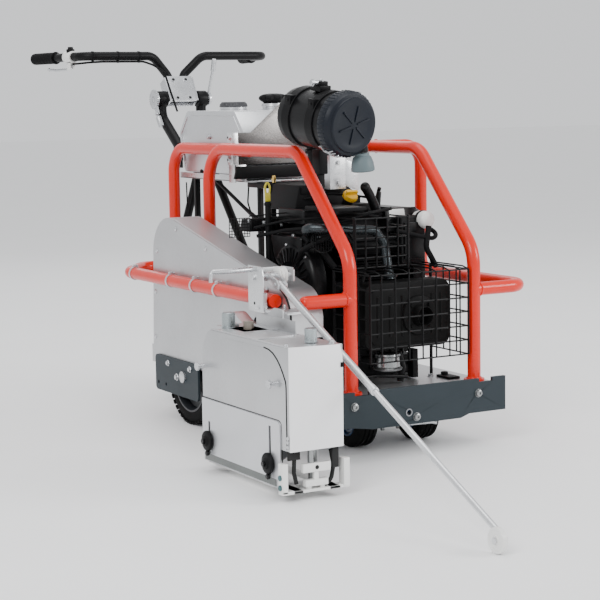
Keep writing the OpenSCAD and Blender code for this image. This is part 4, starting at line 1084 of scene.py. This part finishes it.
def loft_into(bm, rings):
    """Skin between closed rings of points (mm), with both ends closed."""
    rows = [[bm.verts.new(P(*p)) for p in ring] for ring in rings]
    n = len(rows[0])
    for a, b in zip(rows, rows[1:]):
        for i in range(n):
            j = (i + 1) % n
            bm.faces.new((a[i], a[j], b[j], b[i]))
    bm.faces.new(rows[0][::-1])
    bm.faces.new(rows[-1])


# the hose behind the air cleaner, and the intake boxes on the engine
k = Kit()
rear = CAN @ P(CX, 206, CZ)
rear = ((rear.x - OX) / MM, (rear.y - OY) / MM, rear.z / MM)
k.tube([rear, (rear[0] + 14, 262, rear[2]), (-120, 345, 780), (-50, 350, 730), (-30, 345, 600)],
    30, 32, 40)
for q in (0.25, 0.75):
    k.lathe([(-4, 30), (-4, 33), (4, 33), (4, 30)], (-60 + 30 * q, 344 - 4 * q, 740 - 130 * q),
        (0.2, 0, -1), 36)
k.plate([(-146, 560), (-132, 622), (-2, 622), (44, 588), (44, 548), (-70, 548)], 300, 436, "XZ", 5)
k.box((-128, 296, 600), (-14, 302, 616), 1)
k.box((-70, 240, 538), (44, 300, 574), 6, segments=3)
k.plate([(-230, 508), (-222, 538), (-84, 538), (-84, 506)], 384, 436, "XZ", 3)
for i in range(10):
    k.box((-224 + 14 * i, 381, 510), (-220 + 14 * i, 386, 536), 0.8)
k.box((-100, 384, 530), (-70, 420, 572), 3)
# block and foot plate under the canister
k.box((-130, 205, 652), (-106, 240, 712), 3)
k.box((-128, 214, 560), (-110, 234, 655), 2)
k.box((-152, 105, 568), (-60, 240, 576), 1)
k.rod((-26, 262, 564), (-26, 241, 588), 12.5, 24, 1)
k.make("intake_hose", "rubber", "black_plastic", node="air_duct")

# dust valve under the cover
k = Kit()
k.solid([(0, 17), (6, 17.5), (9, 21), (22, 25.5), (36, 27.5), (41, 27), (43, 23)], (-116, 34, 706),
    (0.08, 0.02, -1), 40)
k.make("dust_valve", "black_plastic", "valve_grey")
k = Kit()
k.solid([(0, 15), (14, 15)], (-117, 34, 722), (0.05, 0, -1), 28)
k.make("dust_valve_neck", "black_plastic", "cleaner_black")

# bright sheet brackets between the air cleaner and the engine
k = Kit()
k.plate([(-74, 612), (-30, 612), (-30, 694), (-74, 694)], 250, 253, "XZ", 0.4)
k.box((-74, 252, 612), (-71, 300, 694), 0.4)
k.box((-33, 252, 612), (-30, 300, 694), 0.4)
k.plate([(-24, 618), (14, 606), (14, 650), (-4, 676), (-24, 684)], 262, 265, "XZ", 0.4)
for z in (628, 676):
    k.hexbolt((-52, 250, z), FRONT, 4.5, 4)
k.make("cleaner_posts", "plate_silver", "bracket_white")

# wire clips that hold the cover
k = Kit()
for a, y in ((52, 46), (64, 46), (236, 46), (252, 46)):
    t = about((CX, 0, CZ), radians(90 - a), "Y")
    for dx in (-5, 5):
        pts = [(CX + dx, y - 30, CZ + 75), (CX + dx * 0.8, y - 18, CZ + 79), (CX + dx * 0.4, y + 4,
            CZ + 78), (CX + dx, y + 20, CZ + 69)]
        part = Kit().tube(pts, 1.3, 8, 6)
        bmesh.ops.transform(part.bm, matrix=t, verts=part.bm.verts)
        k.add(part.bm)
    k.box((CX - 7, y + 14, CZ + 67), (CX + 7, y + 26, CZ + 72), 1, t)
leaned(k).make("cover_clips", "white_steel")

# mounting clamp on top of the canister
k = Kit()
k.box((CX - 30, 96, CZ + 66), (CX + 2, 132, CZ + 80), 2.0)
k.box((CX - 26, 100, CZ + 78), (CX - 4, 128, CZ + 90), 2.5)
leaned(k).make("top_clamp", "black_plastic", "black_paint")
k = Kit()
k.rod((CX - 40, 112, CZ + 86), (CX - 24, 112, CZ + 86), 6, 20, 1.0)
k.hexbolt((CX - 40, 112, CZ + 86), LEFT, 6.5, 5)
k.hexbolt((CX - 14, 112, CZ + 88), UP, 5.5, 5)
leaned(k).make("top_clamp_bolt", "white_steel")

# ---------------------------------------------------------------- heat shield, tank and caps

k = Kit()
k.plate([(-150, 664), (-150, 747), (-98, 747), (34, 857), (90, 857), (150, 800), (150, 664)], 613,
    615.5, "XZ", 0.3)
k.make("heat_shield", "plate_silver", "shield_steel")
k = Kit()
k.plate([(-153, 664), (-153, 747), (-137, 747), (-137, 664)], 610.5, 613, "XZ", 0.3)
k.plate([(613, 664), (613, 747), (640, 747), (640, 664)], -153, -150.5, "YZ", 0.3)
for z in (735, 677):
    k.hexbolt((-153, 626, z), LEFT, 6.5, 5)
k.make("shield_flange", "plate_silver", "bracket_white")
k = Kit()
# dark discs on the flange bolts' heads: painted shade standing for their sockets
for z in (735, 677):
    k.solid([(0, 3), (0.5, 3)], (-159.2, 626, z), LEFT, 16)
k.make("flange_bolt_socket_shade", "rubber", "dark_gap")

tank = [(640, 640), (628, 662), (625, 742), (629, 750), (673, 799), (681, 803), (958, 803),
    (966, 799), (1010, 746), (1012, 738), (989, 646), (978, 635), (655, 634)]
k = Kit()
k.plate(tank, -112, 150, "YZ", 3.0)
for c, r in (((-24, 850), 36), ((100, 850), 30)):
    k.lathe([(0, r + 3), (1.5, r + 3), (3, r), (9, r), (9, r - 6), (0, r - 6)], (*c, 803), UP, 48)
k.make("tank_shell", "tank_silver", node="water_tank")
k = Kit()
for y, z in ((826, 734), (821, 688)):
    k.hexbolt((-112.5, y, z), LEFT, 6.5, 5)
k.tube([(-112.6, 652, 648), (-112.6, 640, 742), (-112.6, 682, 790), (-112.6, 956, 790),
    (-112.6, 1000, 740), (-112.6, 976, 648)], 1.4, 8, 14)
k.make("tank_bolts_and_seam", "white_steel")
k = Kit()
k.rod((-112, 818, 700), (-122, 818, 700), 8, 24, 1.5)
k.make("tank_drain_plug", "white_steel", "brass")

k = Kit()
k.solid([(0, 38), (3, 38.6), (6, 37), (8, 35.5), (11, 34.2), (13.4, 32.4), (13.6, 30)],
    (-24, 850, 812.4), UP, 64)
for a in angles(24):
    k.rod(xy(-24, 850, 813.5, 37.4, a), xy(-24, 850, 821.5, 35, a), 1.5, 8)
k.make("tank_lid_cap", "grey_plastic", body="tank_lid", node="tank_cap")
bm = bmesh.new()
rings = []
for h, r, lobe in ((0, 27, 0), (4, 29, 1.2), (9, 36, 3.0), (14, 41, 4.0), (19, 42, 4.0),
        (24, 40, 3.0), (28, 36, 1.6), (31, 30, 0.6), (33, 22, 0), (34.6, 10, 0)):
    rings.append([(100 + (r - lobe + lobe * cos(8 * a)) * cos(a), 850
        + (r - lobe + lobe * cos(8 * a)) * sin(a), 820 + h * 0.8) for a in angles(96)])
loft_into(bm, rings)
k = Kit().add(bm)
k.make("fuel_lid_knob", "black_plastic", body="fuel_lid", node="fuel_cap")

k = Kit()
k.solid([(0, 33), (7.4, 32)], (100, 850, 812.6), UP, 48)
k.make("fuel_lid_ring", "white_steel", body="fuel_lid")

# tray under the tank: a bright folded sheet with a black bar in front
k = Kit()
k.box((-118, 606, 618), (155, 1000, 621), 0.6)
k.box((-118, 606, 618), (-115.5, 1000, 634), 0.5)
k.plate([(604, 618), (640, 618), (640, 664), (604, 664)], -150, -147.5, "YZ", 0.3)
k.plate([(-150, 634), (-118, 618), (-118, 664), (-150, 664)], 604, 606.5, "XZ", 0.3)
k.make("tray_sheet", "plate_silver", "bracket_white")
k = Kit()
k.plate([(-157, 628), (-148, 660), (150, 660), (150, 628)], 594, 603, "XZ", 1.2)
k.box((-118, 500, 606), (155, 600, 618), 1.5)
for x in (-90, 110):
    for y in (520, 960):
        k.box((x, y, 152), (x + 14, y + 14, 618), 1.2)
k.make("tray_bar", "black_paint", node="tank_tray")

# ---------------------------------------------------------------- engine top and side

k = Kit()
turn = about((-26, 240, 590), radians(40), "X")
k.solid([(0, 15), (1, 18), (9, 18), (12, 16.5), (13, 13)], (-26, 240, 590), UP, 40)
k.box((-42, 236.5, 601), (-10, 243.5, 613), 2.4)
for a in angles(16):
    k.rod(xy(-26, 240, 591.5, 17.6, a), xy(-26, 240, 599, 17.6, a), 1.5, 8)
bmesh.ops.transform(k.bm, matrix=turn, verts=k.bm.verts)
k.make("oil_filler_cap", "yellow_plastic", body="oil_lid", node="oil_cap")

k = Kit()
k.rod((-200, DY, 480), (-200, DY, 584), 3, 16)
k.box((-207.5, DY - 2.6, 584), (-192.5, DY + 2.6, 606), 2.4)
k.tube([(-205, DY, 604), (-207, DY, 620), (-200, DY, 634), (-193, DY, 620), (-195, DY, 604)], 2.8,
    12, 8)
k.make("dipstick_handle", "yellow_plastic", "olive_plastic", body="dipstick", node="dipstick")
k = Kit()
k.tube([(-200, DY, 500), (-190, DY, 440), (-150, DY - 6, 380), (-120, DY - 8, 340)], 7, 18, 30)
k.solid([(0, 9), (6, 9), (8, 7)], (-200, DY, 574), UP, 24)
k.make("dipstick_tube_bend", "engine_black")

# brass fitting on a hose end
k = Kit()
k.rod((-110, 470, 622), (-110, 470, 640), 4.5, 20, 0.8)
k.hexbolt((-110, 470, 628), UP, 6.5, 6, False)
k.make("hose_fitting", "white_steel", "brass")
k = Kit()
k.tube([(-110, 470, 624), (-110, 470, 580), (-100, 440, 560)], 4.2, 14, 20)
k.tube([(-206, 780, 616), (-204, 780, 470), (-196, 760, 380)], 1.8, 10, 30)
k.tube([(-60, 700, 616), (-70, 690, 560), (-66, 660, 500), (-60, 560, 460)], 2.2, 10, 30)
for d in (0, 7, 14):
    k.tube([(-112 + d, 880, 640), (-104 + d, 820, 622 - d), (-100 + d, 740, 586 - d),
        (-104 + d, 640, 548 - d), (-120 + d, 520, 520 - d), (-140 + d, 440, 508)], 4.6, 14, 40)
k.make("rear_hoses", "rubber")

# black lever boot, rocker boxes and the regulator box with its blank label
k = Kit()
k.tube([(-20, 176, 618), (-6, 180, 600), (12, 186, 572), (28, 196, 546)], 11.5, 20, 20)
k.ball((-20, 176, 618), 12.5)
k.rod((30, 200, 560), (34, 200, 604), 6, 18, 1.5)
k.box((42, 178, 500), (134, 244, 560), 5, about((88, 200, 530), radians(-14), "X"), 3)
k.box((62, 146, 424), (134, 172, 546), 6, segments=3)
k.box((70, 141, 440), (126, 147, 530), 2)
k.box((-150, 250, 528), (-64, 380, 566), 6, segments=3)
k.rod((-80, 238, 556), (-80, 218, 556), 10, 24, 2)
for x in (-40, -8, 24):
    k.hexbolt((x, 238, 560), FRONT, 4.5, 4)
k.plate([(250, 420), (440, 420), (440, 540), (250, 540)], -118, -108, "YZ", 4)
k.make("engine_top_boxes", "engine_black", "gloss_paint_black")
k = Kit()
lab = about((88, 200, 530), radians(-14), "X")
k.box((50, 190, 560), (126, 216, 560.5), 0.1, lab)
k.box((52, 177.4, 536), (96, 178, 556), 0.1, lab)
k.make("blank_label", "white_paint", "label")
# clutch and fan housing behind the drive guard
k = Kit()
k.solid([(0, 40), (3, 46), (3, 84), (8, 96), (16, 102), (44, 104)], (-166, 296, 388), RIGHT, 72)
for a in angles(28):
    k.rod(yz(-167.5, 296, 388, 50, a), yz(-164.5, 296, 388, 84, a), 2.0, 8)
k.box((-160, 250, 420), (-120, 400, 500), 8, segments=3)
k.make("fan_housing", "engine_black", "gloss_paint_black")
k = Kit()
for a in angles(6, 15):
    k.hexbolt(yz(-158, 296, 388, 92, a), LEFT, 4, 4)
for p in ((-232, 380, 536), (-190, 380, 530), (-140, 380, 522), (-100, 380, 520), (-152, 300, 500),
        (-130, 262, 556), (-96, 262, 572)):
    k.hexbolt(p, FRONT, 3.6, 3.5)
k.make("engine_side_bolts", "white_steel")
# linkage rods and wiring over the engine's left side
k = Kit()
k.tube([(-235, 372, 548), (-170, 352, 552), (-96, 300, 560), (-40, 236, 568)], 1.8, 8, 20)
k.tube([(-235, 366, 540), (-160, 330, 546), (-80, 250, 556)], 2.4, 10, 20)
k.tube([(-228, 360, 520), (-176, 300, 538), (-120, 210, 548), (-60, 150, 556), (0, 150, 548)], 3.2,
    12, 24)
k.tube([(-225, 350, 500), (-180, 290, 516), (-130, 200, 526), (-100, 140, 530)], 4.5, 14, 24)
k.tube([(-150, 250, 470), (-160, 200, 500), (-120, 140, 540), (-40, 120, 560), (30, 140, 566)],
    4.0, 12, 24)
k.tube([(-158, 262, 440), (-172, 220, 470), (-160, 150, 500), (-128, 118, 520)], 7.5, 16, 26)
k.tube([(134, 150, 520), (150, 120, 500), (128, 104, 490), (84, 112, 500), (40, 132, 512)], 5.5,
    14, 20)
k.tube([(-120, 300, 588), (-60, 270, 600), (-20, 262, 596), (20, 240, 590), (40, 210, 580)], 3.0,
    12, 16)
k.make("engine_wiring", "rubber")
# wire mesh screens beside the engine
k = Kit()
for i in range(9):
    k.tube([(-300 + 7 * i, 352, 500), (-300 + 7 * i, 352, 546)], 1.0, 6)
for i in range(7):
    k.tube([(-300, 353.5, 500 + 7.6 * i), (-244, 353.5, 500 + 7.6 * i)], 1.0, 6)
for i in range(8):
    k.tube([(-176 + 7 * i, 160, 470), (-176 + 7 * i, 160, 530)], 1.0, 6)
    k.tube([(-176, 161.5, 472 + 8 * i), (-126, 161.5, 472 + 8 * i)], 1.0, 6)
k.tube([(-150 + 32 * cos(a), 158.5, 500 + 32 * sin(a)) for a in [2 * pi * q / 36
    for q in range(37)]], 1.8, 8)
k.make("screen_wires", "black_paint")

# round bright cup and struts below the muffler
k = Kit()
k.solid([(0, 34), (4, 36), (6, 34), (8, 30), (30, 28), (34, 31), (38, 30)], (-34, 62, 190), UP, 56)
k.make("muffler_base_cup", "white_steel", "chrome")
k = Kit()
k.solid([(0, 20), (1, 20)], (-34, 62, 228.2), UP, 40)
k.box((-100, 96, 156), (-84, 120, 226), 2)
k.box((60, 96, 156), (76, 120, 226), 2)
k.tube([(6, 70, 156), (14, 70, 190), (4, 74, 226)], 8, 16, 14)
k.tube([(-120, 60, 156), (-112, 60, 176), (-60, 60, 178), (20, 60, 168)], 5, 14, 14)
k.make("muffler_struts", "black_paint")

# ---------------------------------------------------------------- handle support

k = Kit()
for s in (-1, 1):
    bent(k, [(s * 64, 1085, 678), (s * 64, TY, TZ - 50), (s * 64, TY, TZ)], (40,), 15)
    k.rod((s * 64 - 14.5, TY, TZ), (s * 64 + 14.5, TY, TZ), 24, 40, 2)
    k.tube([(s * 8, 1085, 678), (s * 185, 1018, 172)], 12, 24)
    k.box((s * 185 - 15, 1004, 152), (s * 185 + 15, 1028, 178), 3)
    k.box((s * 64 - 3, 1100, 640), (s * 64 + 3, 1150, 700), 1.5)
k.rod((-80, 1085, 678), (80, 1085, 678), 16, 32, 2)
k.plate([(1068, 640), (1068, 700), (1120, 716), (1128, 690)], -30, -24, "YZ", 1)
k.plate([(1068, 640), (1068, 700), (1120, 716), (1128, 690)], 24, 30, "YZ", 1)
k.make("support_frame", "black_paint", node="handle_support")
k = Kit()
for s in (-1, 1):
    k.hexbolt((s * 185, 1016, 178), UP, 6, 5)
    k.hexbolt((s * 27, 1062, 678), FRONT, 6, 5)
k.make("support_bolts", "white_steel")

# toothed disc, latch and straps beside the clamp
k = Kit()
k.lathe([(0, 9), (0, 27), (5, 27), (6, 25), (6, 9)], (-84, TY, TZ), LEFT, 64)
for a in angles(32):
    k.rod(yz(-89.5, TY, TZ, 27, a), yz(-84.5, TY, TZ, 27, a), 1.6, 8)
k.plate([(TY - 14, TZ - 4), (TY - 30, TZ - 40), (TY - 20, TZ - 52), (TY + 4, TZ - 20)], -88, -84,
    "YZ", 0.8)
k.plate([(TY - 24, TZ - 46), (TY - 44, TZ - 74), (TY - 34, TZ - 82), (TY - 14, TZ - 54)], -90, -78,
    "YZ", 0.8)
k.hexbolt((-90, TY - 24, TZ - 42), LEFT, 5, 4)
k.make("tilt_disc", "white_steel", body="handle")

# ---------------------------------------------------------------- blade unit's top

k = Kit()
k.box((-470, -40, 325), (-386, 96, 327.5), 0.5)
k.box((-386, -120, 300), (-383, 60, 352), 0.6)
k.plate([(-60, 326), (-60, 372), (-20, 372), (20, 350), (44, 326)], -384, -381, "YZ", 0.5)
k.box((-470, 40, 327), (-440, 60, 336), 0.8)
k.make("housing_ledge", "plate_silver", body="blade_unit")
k = Kit()
for (x, y), z0, z1, r in zip(SKID_POSTS, (326, 326), (362, 356), (15, 13)):
    k.solid([(0, r), (1, r + 0.8), (3, r + 0.8), (4, r), (z1 - z0 - 1.5, r), (z1 - z0, r - 1.5)],
        (x, y, z0), UP, 40)
k.make("post_cups", "white_steel", "post_grey", body="blade_unit")
k = Kit()
k.box((-452, -16, 326), (-438, -2, 346), 1.2)
k.box((-430, 0, 326), (-424, 20, 342), 0.8)
k.make("housing_spacer", "grey_steel", "spacer", body="blade_unit")

k = Kit()
k.box((-506.4, -240, 25), (-505.2, 92, 47), 0.2)
k.make("skirt_strip", "grey_steel", "strip_grey", body="blade_unit")

# ---------------------------------------------------------------- floor, light, camera

def plain(name, color, rough):
    m, nt, b = tree(name)
    vec = coords(nt)
    n = noise(nt, vec, 3.0, 3.0)
    nt.links.new(ramp(nt, n, [(0.3, tuple(c * 0.985 for c in color)), (0.7, color)]),
        b.inputs["Base Color"])
    b.inputs["Roughness"].default_value = rough
    b.inputs["Specular IOR Level"].default_value = 0.25
    return m


bpy.ops.mesh.primitive_plane_add(size=60, location=(0, 0, -0.0005))
floor = bpy.context.object
floor.name = "floor"
floor.data.materials.append(plain("pale_floor", (0.95, 0.95, 0.95), 0.6))

world = bpy.data.worlds.new("studio")
bpy.context.scene.world = world
world.use_nodes = True
bg = next(n for n in world.node_tree.nodes if n.type == "BACKGROUND")
bg.inputs["Color"].default_value = (0.97, 0.98, 1.0, 1)
bg.inputs["Strength"].default_value = 1.0


def area(name, loc, aim, size, power):
    d = bpy.data.lights.new(name, "AREA")
    d.shape = "RECTANGLE"
    d.size, d.size_y = size
    d.energy = power
    o = bpy.data.objects.new(name, d)
    bpy.context.scene.collection.objects.link(o)
    o.location = loc
    o.rotation_mode = "QUATERNION"
    o.rotation_quaternion = (Vector(aim) - Vector(loc)).to_track_quat("-Z", "Y")
    return o


area("key", (-3.6, -2.6, 3.4), (0, 0, 0.4), (2.0, 2.0), 125)
area("fill", (3.2, -3.4, 2.2), (0, 0, 0.4), (2.0, 1.6), 130)
area("top", (0.0, 0.4, 4.2), (0, 0, 0.4), (2.6, 2.6), 60)
area("rim", (1.2, 4.2, 2.6), (0, 0, 0.6), (2.4, 1.6), 20)

YAW, PITCH, ROLL = radians(29.47), radians(6.83), radians(-0.95)
FOCAL_PX, PICTURE_PX, SENSOR = 1700.0, 600.0, 36.0
sy, cy, sp, cp = sin(YAW), cos(YAW), sin(PITCH), cos(PITCH)
ahead = Vector((sy * cp, cy * cp, -sp))
right = Vector((cy, -sy, 0))
up = right.cross(ahead)
right2 = right * cos(ROLL) + up * sin(ROLL)
up2 = up * cos(ROLL) - right * sin(ROLL)
cam_data = bpy.data.cameras.new("camera")
cam_data.sensor_width = SENSOR
cam_data.lens = FOCAL_PX / PICTURE_PX * SENSOR
cam_data.clip_end = 60
cam = bpy.data.objects.new("camera", cam_data)
bpy.context.scene.collection.objects.link(cam)
cam.matrix_world = Matrix(((right2.x, up2.x, -ahead.x, 0), (right2.y, up2.y, -ahead.y, 0),
    (right2.z, up2.z, -ahead.z, 0), (0, 0, 0, 1)))
cam.location = P(-2179.09, -3316.09, 838.06)
bpy.context.scene.camera = cam
